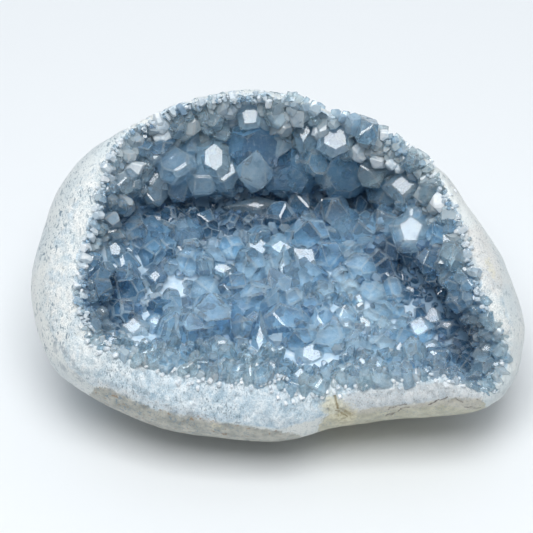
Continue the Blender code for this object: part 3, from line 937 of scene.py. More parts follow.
def stone_material():
    mat, nt, bsdf, out = new_material("geode_stone")
    tc = nt.nodes.new("ShaderNodeTexCoord").outputs["Object"]
    face = vec_attribute(nt, "face")
    sugar = attribute(nt, "sugar")
    blue = attribute(nt, "blue")
    tan = attribute(nt, "tan")
    cream = attribute(nt, "cream")
    painted_recess_shade = attribute(nt, "painted_recess_shade")
    stain = attribute(nt, "stain")
    grain = noise(nt, tc, 1300, 3, 0.7)
    mid = noise(nt, tc, 330, 5, 0.62)
    big = noise(nt, tc, 60, 3, 0.5)
    streak = noise(nt, scaled(nt, face, (1.0, 0.30, 0.6)), 0.85, 3, 0.6)
    fleck = noise(nt, scaled(nt, face, (1.0, 0.42, 0.7)), 1.15, 2, 0.5)
    patch = noise(nt, scaled(nt, face, (1.0, 0.5, 1.0)), 0.28, 4, 0.6)

    fine = noise(nt, tc, 2400, 2, 0.7)
    ragged = noise(nt, tc, 700, 4, 0.65)
    tan = crisp(nt, tan, ragged, 0.9, 0.45, 0.16)
    cream = crisp(nt, cream, ragged, 0.8, 0.45, 0.12)

    white = ramp(nt, mid, [(0.30, (0.50, 0.59, 0.62)), (0.43, (0.68, 0.73, 0.73)), (0.60, (0.82, 0.83, 0.80))])
    # the lower rim is bluer and darker: partly the bluish stone there, partly painted shade where the rim faces down
    # and away from the lamp
    lower = attribute(nt, "lower")
    white = mixc(nt, lower, white, ramp(nt, mid, [(0.36, (0.36, 0.50, 0.60)), (0.45, (0.56, 0.69, 0.77)), (0.60, (0.80, 0.88, 0.92))]))
    white = mixc(nt, ramp(nt, patch, [(0.52, grey(0.0)), (0.64, grey(0.6))]), white, (0.42, 0.54, 0.62))
    skin = ramp(nt, big, [(0.35, (0.63, 0.69, 0.70)), (0.6, (0.77, 0.79, 0.76))])
    # ground skin: broad grey-blue and tan clouds with rusty grains on the back
    behind = attribute(nt, "behind")
    clouds = noise(nt, tc, 26, 4, 0.6, 0.6)
    skin = mixc(nt, math_node(nt, "MULTIPLY", ramp(nt, clouds, [(0.50, grey(0.0)), (0.62, grey(0.75))]), behind), skin,
                ramp(nt, mid, [(0.36, (0.40, 0.40, 0.34)), (0.62, (0.60, 0.58, 0.49))]))
    skin = mixc(nt, math_node(nt, "MULTIPLY", ramp(nt, clouds, [(0.34, grey(0.7)), (0.46, grey(0.0))]), behind), skin,
                ramp(nt, mid, [(0.36, (0.36, 0.45, 0.50)), (0.62, (0.52, 0.60, 0.64))]))
    skin = mixc(nt, tan, skin, ramp(nt, mid, [(0.36, (0.30, 0.31, 0.28)), (0.5, (0.43, 0.43, 0.38)), (0.62, (0.53, 0.52, 0.45))]))
    skin = mixc(nt, cream, skin, ramp(nt, mid, [(0.36, (0.40, 0.39, 0.29)), (0.62, (0.60, 0.58, 0.45))]))
    col = mixc(nt, crisp(nt, sugar, ragged, 0.7, 0.45, 0.3), skin, white)
    # bluish growth towards the crystals, feathered along the slope
    edge = math_node(nt, "ADD", blue, math_node(nt, "MULTIPLY", math_node(nt, "SUBTRACT", streak, 0.5), 1.3))
    edge = math_node(nt, "ADD", edge, math_node(nt, "MULTIPLY", math_node(nt, "SUBTRACT", ragged, 0.5), 0.9))
    col = mixc(nt, ramp(nt, edge, [(0.30, grey(0.0)), (0.55, grey(0.65)), (0.9, grey(1.0))]), col,
               ramp(nt, mid, [(0.30, (0.33, 0.48, 0.60)), (0.52, (0.50, 0.64, 0.74)), (0.68, (0.72, 0.82, 0.88))]))
    # the fine grain of the broken stone
    col = mixc(nt, math_node(nt, "MULTIPLY", ramp(nt, fine, [(0.34, grey(0.9)), (0.50, grey(0.0))]),
                             math_node(nt, "ADD", math_node(nt, "MULTIPLY", sugar, 0.45), 0.15)), col, (0.36, 0.43, 0.47))
    col = mixc(nt, math_node(nt, "MULTIPLY", ramp(nt, fine, [(0.56, grey(0.0)), (0.68, grey(0.8))]), sugar), col,
               (0.92, 0.94, 0.94))
    # small dark specks, drawn out along the wall
    dots = ramp(nt, fleck, [(0.34, grey(0.95)), (0.41, grey(0.0))])
    tiny = ramp(nt, noise(nt, scaled(nt, face, (1.0, 0.6, 0.8)), 2.2, 2, 0.6), [(0.34, grey(0.9)), (0.42, grey(0.0))])
    dots = mixc(nt, 1.0, dots, tiny, "LIGHTEN")
    dots = math_node(nt, "MULTIPLY", dots, math_node(nt, "MULTIPLY", attribute(nt, "specks"),
                     ramp(nt, noise(nt, tc, 90, 3, 0.6), [(0.35, grey(0.35)), (0.6, grey(1.0))])))
    col = mixc(nt, dots, col, (0.19, 0.26, 0.31))
    # sandy skin with brown grains above the polished band
    sandy = attribute(nt, "sandy")
    col = mixc(nt, math_node(nt, "MULTIPLY", crisp(nt, sandy, ragged, 0.8, 0.4, 0.4), 0.40), col, (0.66, 0.63, 0.60))
    brown = ramp(nt, noise(nt, tc, 1700, 3, 0.7), [(0.36, grey(0.9)), (0.46, grey(0.0))])
    brown = math_node(nt, "MULTIPLY", brown, ramp(nt, mid, [(0.40, grey(1.0)), (0.56, grey(0.25))]))
    col = mixc(nt, math_node(nt, "MULTIPLY", brown, sandy), col, (0.17, 0.15, 0.13))
    rust = ramp(nt, noise(nt, tc, 620, 3, 0.6), [(0.33, grey(0.85)), (0.40, grey(0.0))])
    rusty = math_node(nt, "ADD", tan, math_node(nt, "MULTIPLY", behind, ramp(nt, clouds, [(0.48, grey(0.0)), (0.58, grey(0.8))])),
                      clamp=True)
    col = mixc(nt, math_node(nt, "MULTIPLY", rust, rusty), col, (0.30, 0.21, 0.13))
    # yellow to brown stains
    stain = math_node(nt, "MULTIPLY", crisp(nt, stain, ragged, 1.4, 0.46, 0.5), 0.72)
    col = mixc(nt, stain, col, ramp(nt, ragged, [(0.36, (0.34, 0.28, 0.14)), (0.50, (0.62, 0.57, 0.38)), (0.62, (0.76, 0.72, 0.55))]))
    # hairline cracks and marks
    bent = nt.nodes.new("ShaderNodeVectorMath")
    bent.operation = "ADD"
    nt.links.new(face, bent.inputs[0])
    warp = nt.nodes.new("ShaderNodeTexNoise")
    warp.inputs["Scale"].default_value = 500
    warp.inputs["Detail"].default_value = 3
    nt.links.new(tc, warp.inputs["Vector"])
    offset = nt.nodes.new("ShaderNodeVectorMath")
    offset.operation = "MULTIPLY_ADD"
    nt.links.new(warp.outputs["Color"], offset.inputs[0])
    offset.inputs[1].default_value = (1.8, 1.8, 0.0)
    offset.inputs[2].default_value = (-0.9, -0.9, 0.0)
    nt.links.new(offset.outputs[0], bent.inputs[1])
    broken = ramp(nt, ragged, [(0.40, grey(0.15)), (0.54, grey(1.0))])
    for tone, strength, half, lines in (
            ((0.13, 0.11, 0.09), 0.9, 0.30, [((384, 414), (394, 411)), ((394, 411), (398, 407)), ((398, 407), (406, 405)),
                                        ((426, 402), (433, 399)), ((433, 399), (444, 394)), ((452, 396), (459, 400)),
                                        ((462, 405), (478, 406)), ((386, 406), (403, 401))]),
            ((0.22, 0.17, 0.07), 0.85, 0.50, [((333, 394), (337, 405)), ((337, 405), (349, 412)), ((335, 408), (346, 414))]),
            ((0.24, 0.30, 0.35), 0.55, 0.95, [((64, 346), (69, 352)), ((73, 357), (79, 366)), ((63, 362), (68, 369)),
                                        ((77, 373), (84, 379)), ((57, 340), (59, 350))])):
        for start_px, end_px in lines:
            line = math_node(nt, "MULTIPLY", line_mask(nt, bent.outputs[0], start_px, end_px, half), broken)
            col = mixc(nt, math_node(nt, "MULTIPLY", line, strength), col, tone)
    col = mixc(nt, attribute(nt, "hollow"), col,
               ramp(nt, mid, [(0.32, (0.46, 0.64, 0.80)), (0.50, (0.64, 0.80, 0.92)), (0.66, (0.84, 0.93, 1.0))]))
    # painted shade: the channels of the hollow are painted dark
    col = mixc(nt, painted_recess_shade, col, (0.08, 0.17, 0.27))
    nt.links.new(col, bsdf.inputs["Base Color"])
    nt.links.new(ramp(nt, sugar, [(0.1, grey(0.34)), (0.8, grey(0.62))]), bsdf.inputs["Roughness"])
    bump = nt.nodes.new("ShaderNodeBump")
    bump.inputs["Strength"].default_value = 0.75
    bump.inputs["Distance"].default_value = 0.0006
    rough = math_node(nt, "MULTIPLY", math_node(nt, "ADD", mid, math_node(nt, "MULTIPLY", grain, 0.6)),
                      math_node(nt, "ADD", math_node(nt, "MULTIPLY", sugar, 0.85), 0.12))
    nt.links.new(rough, bump.inputs["Height"])
    nt.links.new(bump.outputs["Normal"], bsdf.inputs["Normal"])
    bsdf.inputs["IOR"].default_value = 1.5
    return mat


def crystal_material(name, transmission, roughness, tints, absorb, density, ior=1.62, coat=0.2):
    mat, nt, bsdf, out = new_material(name)
    tc = nt.nodes.new("ShaderNodeTexCoord").outputs["Object"]
    per = attribute(nt, "tint")
    col = ramp(nt, per, [(0.0, tints[0]), (0.22, tints[1]), (0.95, tints[2])])
    smoke = noise(nt, tc, 60, 2, 0.5)
    col = mixc(nt, ramp(nt, smoke, [(0.50, grey(0.0)), (0.68, grey(0.30))]), col, (0.48, 0.61, 0.80))
    # veils and clouds inside the crystals
    cloud = noise(nt, tc, 430, 5, 0.62, 1.0)
    veil = noise(nt, scaled(nt, tc, (1.0, 0.45, 0.7)), 760, 3, 0.55, 2.2)
    col = mixc(nt, ramp(nt, cloud, [(0.30, grey(0.75)), (0.46, grey(0.0))]), col, scale_colour(tints[1], 0.62))
    col = mixc(nt, ramp(nt, cloud, [(0.54, grey(0.0)), (0.72, grey(0.9))]), col, tints[3])
    col = mixc(nt, ramp(nt, veil, [(0.60, grey(0.0)), (0.70, grey(0.55))]), col, tints[3])
    # painted highlight: the chamfer faces are painted pale, standing in for the light lines along the crystal edges
    col = mixc(nt, math_node(nt, "MULTIPLY", attribute(nt, "edge"), 0.75), col, tints[3])
    nt.links.new(col, bsdf.inputs["Base Color"])
    bsdf.inputs["Transmission Weight"].default_value = transmission
    bsdf.inputs["IOR"].default_value = ior
    rough = ramp(nt, noise(nt, tc, 260, 3, 0.6), [(0.35, grey(roughness * 0.5)), (0.70, grey(roughness * 1.7))])
    nt.links.new(rough, bsdf.inputs["Roughness"])
    bsdf.inputs["Coat Weight"].default_value = coat
    bsdf.inputs["Coat Roughness"].default_value = 0.03
    bsdf.inputs["Coat IOR"].default_value = 1.5
    bump = nt.nodes.new("ShaderNodeBump")
    bump.inputs["Strength"].default_value = 0.07
    bump.inputs["Distance"].default_value = 0.0003
    nt.links.new(noise(nt, tc, 520, 3, 0.5, 1.2), bump.inputs["Height"])
    nt.links.new(bump.outputs["Normal"], bsdf.inputs["Normal"])
    vol = nt.nodes.new("ShaderNodeVolumeAbsorption")
    vol.inputs["Color"].default_value = (*absorb, 1)
    vol.inputs["Density"].default_value = density
    nt.links.new(vol.outputs["Volume"], out.inputs["Volume"])
    return mat


def sugar_material():
    """White fine-grained crystal along the edge of the mouth."""
    mat, nt, bsdf, out = new_material("celestite_sugar")
    tc = nt.nodes.new("ShaderNodeTexCoord").outputs["Object"]
    per = attribute(nt, "tint")
    mid = noise(nt, tc, 420, 4, 0.6)
    col = ramp(nt, per, [(0.0, (0.38, 0.50, 0.60)), (0.45, (0.57, 0.66, 0.72)), (1.0, (0.78, 0.82, 0.84))])
    col = mixc(nt, ramp(nt, mid, [(0.36, grey(0.7)), (0.52, grey(0.0))]), col, (0.42, 0.53, 0.62))
    col = mixc(nt, ramp(nt, mid, [(0.55, grey(0.0)), (0.68, grey(0.8))]), col, (0.88, 0.91, 0.92))
    nt.links.new(col, bsdf.inputs["Base Color"])
    nt.links.new(ramp(nt, mid, [(0.35, grey(0.20)), (0.65, grey(0.45))]), bsdf.inputs["Roughness"])
    bsdf.inputs["IOR"].default_value = 1.62
    bump = nt.nodes.new("ShaderNodeBump")
    bump.inputs["Strength"].default_value = 0.25
    bump.inputs["Distance"].default_value = 0.0003
    nt.links.new(noise(nt, tc, 1500, 3, 0.6), bump.inputs["Height"])
    nt.links.new(bump.outputs["Normal"], bsdf.inputs["Normal"])
    return mat


def scale_colour(c, k):
    return tuple(x * k for x in c)


# ------------------------------------------------------------------ build
stone = make_stone()
stone.data.materials.append(stone_material())
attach(stone, "root")
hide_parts("rind")

KEY_POS = np.array((-0.04, -0.32, 1.09))
rng = random.Random(7)
sc = Scatter(11)
hero_protos = make_prototypes(24, 3, 0.024)
mid_protos = make_prototypes(24, 4, 0.030)
small_protos = make_prototypes(36, 5)
main = Crystals("crystals_main")
druse = Crystals("crystals_druse")
grains = Crystals("crystals_sugar")


def half_way(point):
    """Normal, in the face frame, of a facet that shows the key light to the camera."""
    p = world(point)
    to_key = Vector(KEY_POS - p).normalized()
    to_cam = Vector(world(sight_point(266.5, 266.5, VIEW_DIST)) - p).normalized()
    return to_face((to_key + to_cam).normalized())


def hollow_point(x, y, above):
    p = sight_point(x, y, 0)
    for _ in range(6):
        p = sight_point(x, y, float(hollow_w(p[0], p[1])) + above)
    return p


def hero(x, y, width, length, axis, spin=0.0, depth=None, kind=0, tint=0.4, above=None):
    """A crystal seen at the pixel x, y; width and length in mm."""
    ax = Vector(axis).normalized()
    rise = length * 0.55 * max(ax.z, 0.25) if above is None else above
    centre = hollow_point(x, y, rise)
    root = centre - np.array(ax) * length * 0.5
    main.add(hero_protos[kind % len(hero_protos)], root, ax, spin, width, depth or width * 0.85, length, tint)
    sc.block(centre, width * 0.75)


def mirror(x, y, half_a, half_b, sides=6, lean=(0, 0), depth=7.0, above=5.0, tint=0.8, long_dir=(0, 1, 0), slant=0.85):
    """A crystal with a bright end face at the pixel x, y; sizes in mm."""
    centre = hollow_point(x, y, above)
    n = np.array(half_way(centre)) + np.array((lean[0], lean[1], 0.0))
    made = mirror_body(centre, n, long_dir, half_a, half_b, sides, depth, slant, rng)
    if made:
        main.add_body(made, tint)
        seen = as_seen(centre[None, :])[0]
        FACETS.append((seen[0], seen[1], 0.75 * min(half_a, half_b) + 0.2 * max(half_a, half_b), centre[2]))
        sc.block(centre - np.array(n) * 3.0, max(half_a, half_b) * 1.7)
        sc.block(centre, max(half_a, half_b) * 1.5)


def plate(x, y, half_a, half_b, sides, normal, depth, above, tint, slant=0.9):
    centre = hollow_point(x, y, above)
    made = mirror_body(centre, normal, (0.15, 1, 0), half_a, half_b, sides, depth, slant, rng)
    if made:
        main.add_body(made, tint)
        sc.block(centre - np.array(normal) * 3.0, max(half_a, half_b) * 1.35)


for x, y, ha, hb, sides, normal, depth, above, tint in [
        (258, 149, 6.0, 5.2, 6, (0.16, -0.22, 1), 12, 8.5, 0.15), (347, 172, 6.0, 6.0, 7, (0.1, -0.34, 1), 12, 8.0, 0.10),
        (349, 232, 3.4, 3.2, 7, (0.05, -0.05, 1), 9, 6.5, 0.35), (297, 284, 5.0, 4.6, 6, (-0.25, -0.12, 1), 9, 6.0, 0.45),
        (290, 180, 4.2, 5.4, 5, (0.0, -0.55, 1), 12, 8.5, 0.15), (378, 157, 3.2, 4.6, 6, (0.15, -0.4, 1), 10, 7.0, 0.05),
        (232, 312, 3.4, 3.8, 5, (-0.25, 0.1, 1), 8, 5.0, 0.30), (436, 196, 3.8, 2.6, 6, (0.1, -0.4, 1), 7, 4.0, 0.85),
        (188, 238, 3.4, 3.0, 6, (0.2, -0.1, 1), 8, 5.0, 0.35), (147, 236, 3.0, 3.4, 5, (-0.2, 0.05, 1), 8, 4.5, 0.25)]:
    plate(x, y, ha, hb, sides, normal, depth, above, tint)

# (x, y, half height, half width, sides, depth, above, tint)
for x, y, ha, hb, sides, depth, above, tint in [
        (214, 157, 3.9, 2.8, 6, 9, 8.0, 0.8), (335, 138, 3.3, 3.1, 6, 7, 8.0, 0.9),
        (403, 185, 2.4, 2.8, 4, 7, 6.0, 0.8), (410, 230, 3.8, 3.2, 5, 9, 7.0, 0.8),
        (250, 116, 2.4, 2.2, 5, 6, 6.0, 0.9), (304, 131, 2.6, 1.3, 4, 6, 6.0, 0.8),
        (133, 325, 2.4, 2.2, 4, 7, 4.0, 0.7), (312, 353, 2.6, 3.0, 6, 7, 3.0, 0.9),
        (283, 268, 2.3, 0.8, 4, 7, 7.0, 0.8), (256, 205, 1.0, 3.0, 4, 6, 5.0, 0.7),
        (281, 247, 1.4, 2.2, 4, 6, 6.5, 0.8), (155, 276, 1.2, 1.1, 4, 6, 5.0, 0.8),
        (222, 268, 1.2, 2.0, 4, 6, 5.0, 0.7), (341, 284, 1.6, 1.4, 4, 5, 4.0, 0.8),
        (115, 249, 1.8, 1.5, 5, 6, 5.0, 0.8), (181, 285, 1.8, 1.0, 4, 6, 5.0, 0.8),
        (260, 339, 3.2, 0.8, 4, 7, 5.0, 0.7), (268, 168, 1.5, 1.0, 4, 5, 6.0, 0.8),
        (424, 186, 1.3, 1.1, 5, 6, 7.0, 0.9)]:
    mirror(x, y, ha, hb, sides, (rng.uniform(-0.04, 0.04), rng.uniform(-0.04, 0.04)), depth, above, tint)

DOWN = (0.0, -0.75, 0.75)
# (x, y, width, length, axis, tint)
for k, (x, y, w, l, axis, tint) in enumerate([
        (212, 120, 9, 10, (-0.1, -0.5, 1), 0.7),
        (277, 106, 5.5, 7, (0.1, -0.5, 1), 0.9), (315, 160, 8, 15, (0.15, -0.9, 0.8), 0.35),
        (299, 200, 9, 12, (0.1, -0.9, 0.7), 0.15),
        (352, 152, 7, 14, (0.9, -0.3, 0.8), 0.6),
        (398, 243, 9, 10, (-0.5, 0.3, 1), 0.25),
        (453, 256, 9, 10, (-0.3, -0.1, 1), 0.8), (152, 196, 8, 10, (-0.3, -0.4, 1), 0.55),
        (122, 184, 8, 9, (-0.4, -0.3, 1), 0.7), (235, 285, 8, 10, (0.3, 0.4, 0.8), 0.3), (205, 264, 8, 9, (-0.2, 0.3, 1), 0.7),
        (128, 275, 8, 9, (0.1, 0.2, 1), 0.5), (285, 325, 13, 10, (0.3, -0.1, 1), 0.3), (243, 330, 9, 9, (-0.2, 0.0, 1), 0.3),
        (310, 368, 7, 7, (0.1, 0.3, 1), 0.3), (458, 301, 8, 8, (-0.2, 0.1, 1), 0.2),
        (258, 237, 8, 8, (0.15, 0.3, 1), 0.5), (172, 310, 8, 8, (0, 0.3, 1), 0.5),
        (430, 262, 8, 9, (-0.4, -0.2, 1), 0.3), (484, 364, 6.5, 8, (-0.2, 0.2, 1), 0.7),
        (473, 378, 5, 7, (-0.2, 0.2, 1), 0.6), (372, 128, 7, 8, (0.1, -0.3, 1), 0.5),
        (330, 122, 7, 8, (0.0, -0.3, 1), 0.6), (412, 163, 7, 8, (0.1, -0.3, 1), 0.7),
        (178, 128, 7, 8, (-0.2, -0.3, 1), 0.7), (160, 145, 7, 8, (-0.3, -0.4, 1), 0.4)]):
    hero(x, y, w, l, axis, rng.uniform(0, math.tau), w * rng.uniform(0.8, 1.0), k, tint)


def region_size(p, q):
    """Growth factor of crystals over the hollow."""
    u, v = p[:, 0], p[:, 1]
    mu, mv = uv_of(372, 312)
    mound = np.exp(-((u - mu) / 19) ** 2 - ((v - mv) / 12) ** 2)
    low = smooth(0.80, 1.0, q) * (v < 0)
    side = smooth(0.72, 0.95, q) * smooth(0.1, -0.8, u / np.hypot(u, v))
    run = np.zeros(len(u))
    for line, extra, half in CHANNELS:
        run = np.maximum(run, np.exp(-(run_distance(u, v, line) / (half * 0.75)) ** 2))
    return (1 - 0.48 * mound) * (1 - 0.50 * low) * (1 - 0.35 * side) * (1 - 0.62 * run)


def region_tint(p, q, rnd):
    u, v = p[:, 0], p[:, 1]
    mu, mv = uv_of(372, 312)
    mound = np.exp(-((u - mu) / 21) ** 2 - ((v - mv) / 13) ** 2)
    # the low edge is tinted paler: partly the paler crystals there, partly painted light over the shade of the lip
    low = smooth(0.70, 1.0, q) * (v < 0)
    # painted light: crystals on the top crest, turned away from the lamp, are tinted paler
    top = smooth(0.76, 0.94, q) * (v > 0)
    # painted shade: crystals in the channels of the hollow are tinted darker, and the tint is subtracted in the return
    # below
    run = np.zeros(len(u))
    for line, extra, half in CHANNELS:
        run = np.maximum(run, np.exp(-(run_distance(u, v, line) / (half * (0.9 if line[0][1] < 230 else 1.6))) ** 2))
    right = smooth(0.80, 0.95, q) * (u > 25) * (v > -5)
    # painted light: the upper wall faces down and away from the lamp, so its crystals are tinted paler
    wall = smooth(8, 24, v)
    return np.clip(0.08 + rnd * 0.66 + 0.42 * mound + 0.55 * low + 0.95 * top + 0.42 * wall + 0.35 * right
                   - 1.00 * run, -0.60, 1)


def grow(body, protos, spots, tints, lean, sink, len_k, pull):
    for (p, n, s), tint in zip(spots, tints):
        steer = np.array((rng.uniform(-1, 1), rng.uniform(-1, 1), rng.uniform(-0.3, 0.5)))
        a = math.atan2(p[1], p[0])
        edge = float(smooth(0.84, 1.0, math.hypot(p[0], p[1]) / float(mouth_radius(a))))
        inward = np.array((-math.cos(a), -math.sin(a), 0.0)) * edge * (0.75 if on_crest(a) < 0.5 else 0.1)
        axis = n + steer * lean + inward + np.array((0, 0, pull))
        axis /= np.linalg.norm(axis)
        width = s * rng.uniform(0.92, 1.15)
        body.add(rng.choice(protos), p - n * sink, Vector(axis), rng.uniform(0, math.tau), width,
                 width * rng.uniform(0.75, 1.05), s * len_k * rng.uniform(0.80, 1.25), float(tint))


def fill_hollow(body, protos, lo, hi, spread, count, lean, sink, len_k, pull, q_hi=0.97, tries=6000):
    p, n, q = sc.hollow_candidates(tries, 0, q_hi)
    s = sc.rand.uniform(lo, hi, len(p)) * region_size(p, q)
    spots = sc.fill(p, n, s, spread, count)
    pts = np.array([x[0] for x in spots])
    qq = np.hypot(pts[:, 0], pts[:, 1]) / mouth_radius(np.arctan2(pts[:, 1], pts[:, 0]))
    grow(body, protos, spots, region_tint(pts, qq, sc.rand.uniform(0, 1, len(pts))), lean, sink, len_k, pull)
    return len(spots)


def line_wall(count, lo, hi, spread, tries=5000):
    """Crystals on the steep wall, standing up to the edge of the mouth."""
    ang = sc.rand.uniform(-math.pi, math.pi, tries)
    inset = sc.rand.uniform(0.6, 5.5, tries)
    s = sc.rand.uniform(lo, hi, tries) * (1 - 0.35 * smooth(0.0, -0.6, np.sin(ang)))
    r = mouth_radius(ang) - inset - 0.30 * s
    u, v = r * np.cos(ang), r * np.sin(ang)
    p, n = surface_frames(u, v)
    up = np.array((0.0, 0.0, 1.0)) + 0.45 * n + sc.rand.normal(0, 0.16, (tries, 3))
    up /= np.linalg.norm(up, axis=1, keepdims=True)
    top = mouth_w(ang) - 0.2 - 0.45 * inset + sc.rand.uniform(-1.2, 0.9, tries)
    spots = sc.fill(p, up, s, spread, count)
    index = {tuple(x): k for k, x in enumerate(p)}
    for q, axis, size in spots:
        k = index[tuple(q)]
        reach = max(float(top[k] - q[2]) / max(axis[2], 0.4), size * 0.9)
        length = min(reach, size * 2.0)
        pick = rng.random() if q[1] > 12 else 1.0
        body = grains if pick < 0.15 else (druse if pick < 0.62 else main)
        # the tint rises up the wall, painted light on the shaded upper wall, and towards the bottom, partly the paler
        # crystals there and partly painted light
        body.add(rng.choice(mid_protos), q + axis * (reach - length), Vector(axis), rng.uniform(0, math.tau),
                 size, size * rng.uniform(0.75, 1.0), length,
                 rng.uniform(0.1, 0.8) + 0.4 * float(smooth(8, 24, q[1])) + 0.3 * float(smooth(-10, -22, q[1])))
    return len(spots)


def fill_low_edge(count, tries=5000):
    """Pale crystals that lead from the blue ones to the sugary edge."""
    ang = sc.rand.uniform(-math.pi, 0.0, tries)
    s = sc.rand.uniform(2.4, 5.6, tries) * (1 - 0.40 * smooth(-0.75, -0.92, np.cos(ang)))
    low = smooth(-0.15, -0.50, np.sin(ang)) * smooth(-0.97, -0.88, np.cos(ang))
    r = mouth_radius(ang) + sc.rand.uniform(-7.5, 1.2, tries)
    q = r / mouth_radius(ang)
    keep = sc.rand.uniform(0, 1, tries) < low
    u, v = (r * np.cos(ang))[keep], (r * np.sin(ang))[keep]
    p, n = surface_frames(u, v)
    s, q = s[keep], q[keep]
    spots = sc.fill(p, n, s, 0.30, count)
    for p0, n0, s0 in spots:
        a0 = math.atan2(p0[1], p0[0])
        inset = float(mouth_radius(a0)) - math.hypot(p0[0], p0[1])
        tone = float(np.clip(rng.uniform(0.35, 1.0) + 0.06 * (3.0 - inset), 0, 1))
        body = main if s0 > 3.0 else druse
        grow(body, mid_protos, [(p0, n0, s0)], [tone], 0.6, 0.45 * s0, 1.15, 0.2)
    return len(spots)


counts = [fill_hollow(main, hero_protos, 9.0, 13.0, 0.40, 80, 0.34, 2.6, 1.10, 0.35, 0.84),
          line_wall(150, 3.6, 7.0, 0.30),
          fill_hollow(main, mid_protos, 5.8, 9.0, 0.35, 340, 0.42, 2.2, 1.25, 0.35, 0.96, 9000),
          fill_low_edge(230),
          fill_hollow(druse, small_protos, 2.6, 4.4, 0.34, 560, 0.6, 0.7, 1.4, 0.3, 0.985, 14000)]

# small grains of crystal along the edge of the mouth, sunk in the rim
ang = sc.rand.uniform(-math.pi, math.pi, 12000)
open_top = on_crest(ang)
low = smooth(-0.10, -0.55, np.sin(ang)) * smooth(-0.97, -0.85, np.cos(ang)) * smooth(0.95, 0.82, np.cos(ang))
out_by = np.abs(sc.rand.normal(0, 1, 12000)) * (0.8 + 1.6 * low + 2.0 * open_top)
span = outline_radius(ang) - mouth_radius(ang)
t = np.clip(1 - out_by / span, 0.05, 1)
p, n = rim_frames(ang, t)
inward = np.stack([-np.cos(ang), -np.sin(ang), np.zeros_like(ang)], axis=-1)
p = p + inward * (sc.rand.uniform(0, 1.2, 12000) + 0.7 * (1 - open_top))[:, None]
s = 0.9 + 2.2 * (1 - 0.75 * low) * sc.rand.uniform(0, 1, 12000) ** 2.2
s = s * (1 + 1.1 * open_top)
keep = sc.rand.uniform(0, 1, 12000) < np.maximum(0.28 - 0.12 * low, open_top)
spots = sc.fill(p[keep], n[keep], s[keep], 0.42, 470)
for (p0, n0, s0) in spots:
    a0 = math.atan2(p0[1], p0[0])
    crest = float(on_crest(a0))
    far = (math.hypot(p0[0], p0[1]) - float(mouth_radius(a0))) / 3.0
    body = druse if rng.random() < 0.35 + 0.6 * crest - 0.5 * max(far, 0) * (1 - crest) else grains
    tone = np.clip(rng.uniform(0.30, 0.95) + 0.35 * far + 0.1, 0, 1)
    grow(body, small_protos, [(p0, n0, s0)], [tone], 0.55, 0.58 * s0, 1.10, 0.2)
print("crystals", counts, len(spots))

TINT = ((0.10, 0.25, 0.42), (0.38, 0.70, 0.98), (0.71, 0.91, 1.0), (0.86, 0.97, 1.0))
WHITE = ((0.24, 0.45, 0.70), (0.50, 0.77, 1.0), (0.84, 0.96, 1.0), (0.94, 0.99, 1.0))
CLEAR = crystal_material("celestite_clear", 0.82, 0.06, TINT, (0.20, 0.64, 0.98), 3.0)
MILKY = crystal_material("celestite_milky", 0.64, 0.11, WHITE, (0.34, 0.72, 0.98), 3.0)
SUGAR = sugar_material()
for batch, mat in ((main, CLEAR), (druse, MILKY), (grains, SUGAR)):
    obj = batch.build()
    obj.data.materials.clear()
    obj.data.materials.append(mat)
    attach(obj, "root")
    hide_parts("crystals")

# ------------------------------------------------------------------ studio

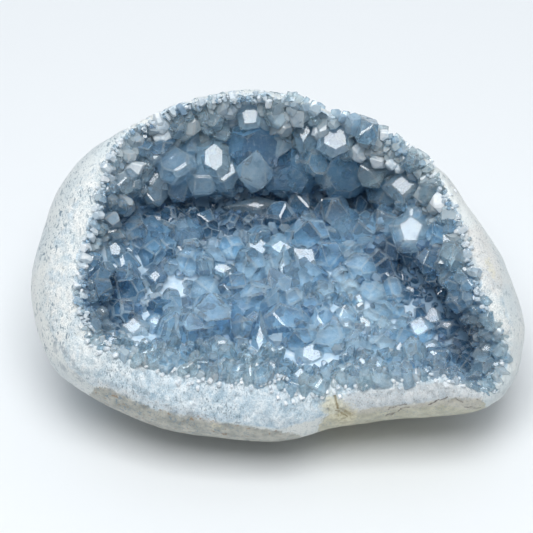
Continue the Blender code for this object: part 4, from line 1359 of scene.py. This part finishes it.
def studio():
    size = 3.0
    floor = add_mesh("floor", [(-size, -size, 0), (size, -size, 0), (size, size, 0), (-size, size, 0)],
                     [(0, 1, 2, 3)])
    mat, nt, bsdf, out = new_material("floor_paper")
    bsdf.inputs["Base Color"].default_value = (0.795, 0.818, 0.83, 1)
    bsdf.inputs["Roughness"].default_value = 0.9
    bsdf.inputs["Specular IOR Level"].default_value = 0.1
    floor.data.materials.append(mat)

    world_ = bpy.data.worlds.new("studio")
    bpy.context.scene.world = world_
    world_.use_nodes = True
    nt = world_.node_tree
    bg = nt.nodes["Background"]
    tc = nt.nodes.new("ShaderNodeTexCoord")
    dot = nt.nodes.new("ShaderNodeVectorMath")
    dot.operation = "DOT_PRODUCT"
    nt.links.new(tc.outputs["Generated"], dot.inputs[0])
    dot.inputs[1].default_value = (0.0, 0.55, 0.835)
    shade = ramp(nt, math_node(nt, "ADD", math_node(nt, "MULTIPLY", dot.outputs["Value"], 0.5), 0.5),
                 [(0.35, (0.05, 0.054, 0.06)), (0.60, (0.13, 0.14, 0.155)), (0.80, (0.44, 0.475, 0.52)), (0.97, (0.66, 0.70, 0.75))])
    nt.links.new(shade, bg.inputs["Color"])
    bg.inputs["Strength"].default_value = 1.0

    def area(name, pos, size_x, size_y, watts, colour=(1, 1, 1)):
        light = bpy.data.lights.new(name, "AREA")
        light.shape = "RECTANGLE"
        light.size, light.size_y = size_x, size_y
        light.energy = watts
        light.color = colour
        obj = bpy.data.objects.new(name, light)
        obj.location = pos
        obj.rotation_euler = (Vector((0, 0, 0.04)) - Vector(pos)).to_track_quat("-Z", "Y").to_euler()
        bpy.context.collection.objects.link(obj)
        return obj

    area("key", tuple(KEY_POS), 0.72, 0.66, 10.4)
    area("fill", (0.12, -0.80, 0.85), 1.3, 1.0, 1.3)

    cam = bpy.data.cameras.new("camera")
    cam_obj = bpy.data.objects.new("camera", cam)
    bpy.context.collection.objects.link(cam_obj)
    cu, cv = uv_of(266.5, 266.5)
    cam_obj.location = Vector(world((cu, cv, VIEW_DIST)))
    back = Vector((0, -COS, SIN))
    cam_obj.rotation_mode = "QUATERNION"
    cam_obj.rotation_quaternion = (-back).to_track_quat("-Z", "Y")
    cam.sensor_width = 36.0
    cam.lens = 36.0 * (VIEW_DIST + 8.0) / (533 * UNIT)
    cam.clip_start, cam.clip_end = 0.01, 10
    bpy.context.scene.camera = cam_obj

    scn = bpy.context.scene
    scn.view_settings.view_transform = "Standard"
    scn.cycles.max_bounces = 16
    scn.cycles.transmission_bounces = 14
    scn.cycles.glossy_bounces = 6
    scn.cycles.diffuse_bounces = 4
    scn.cycles.transparent_max_bounces = 8
    scn.cycles.sample_clamp_indirect = 6.0
    scn.cycles.blur_glossy = 0.5
    scn.cycles.use_denoising = True


studio()
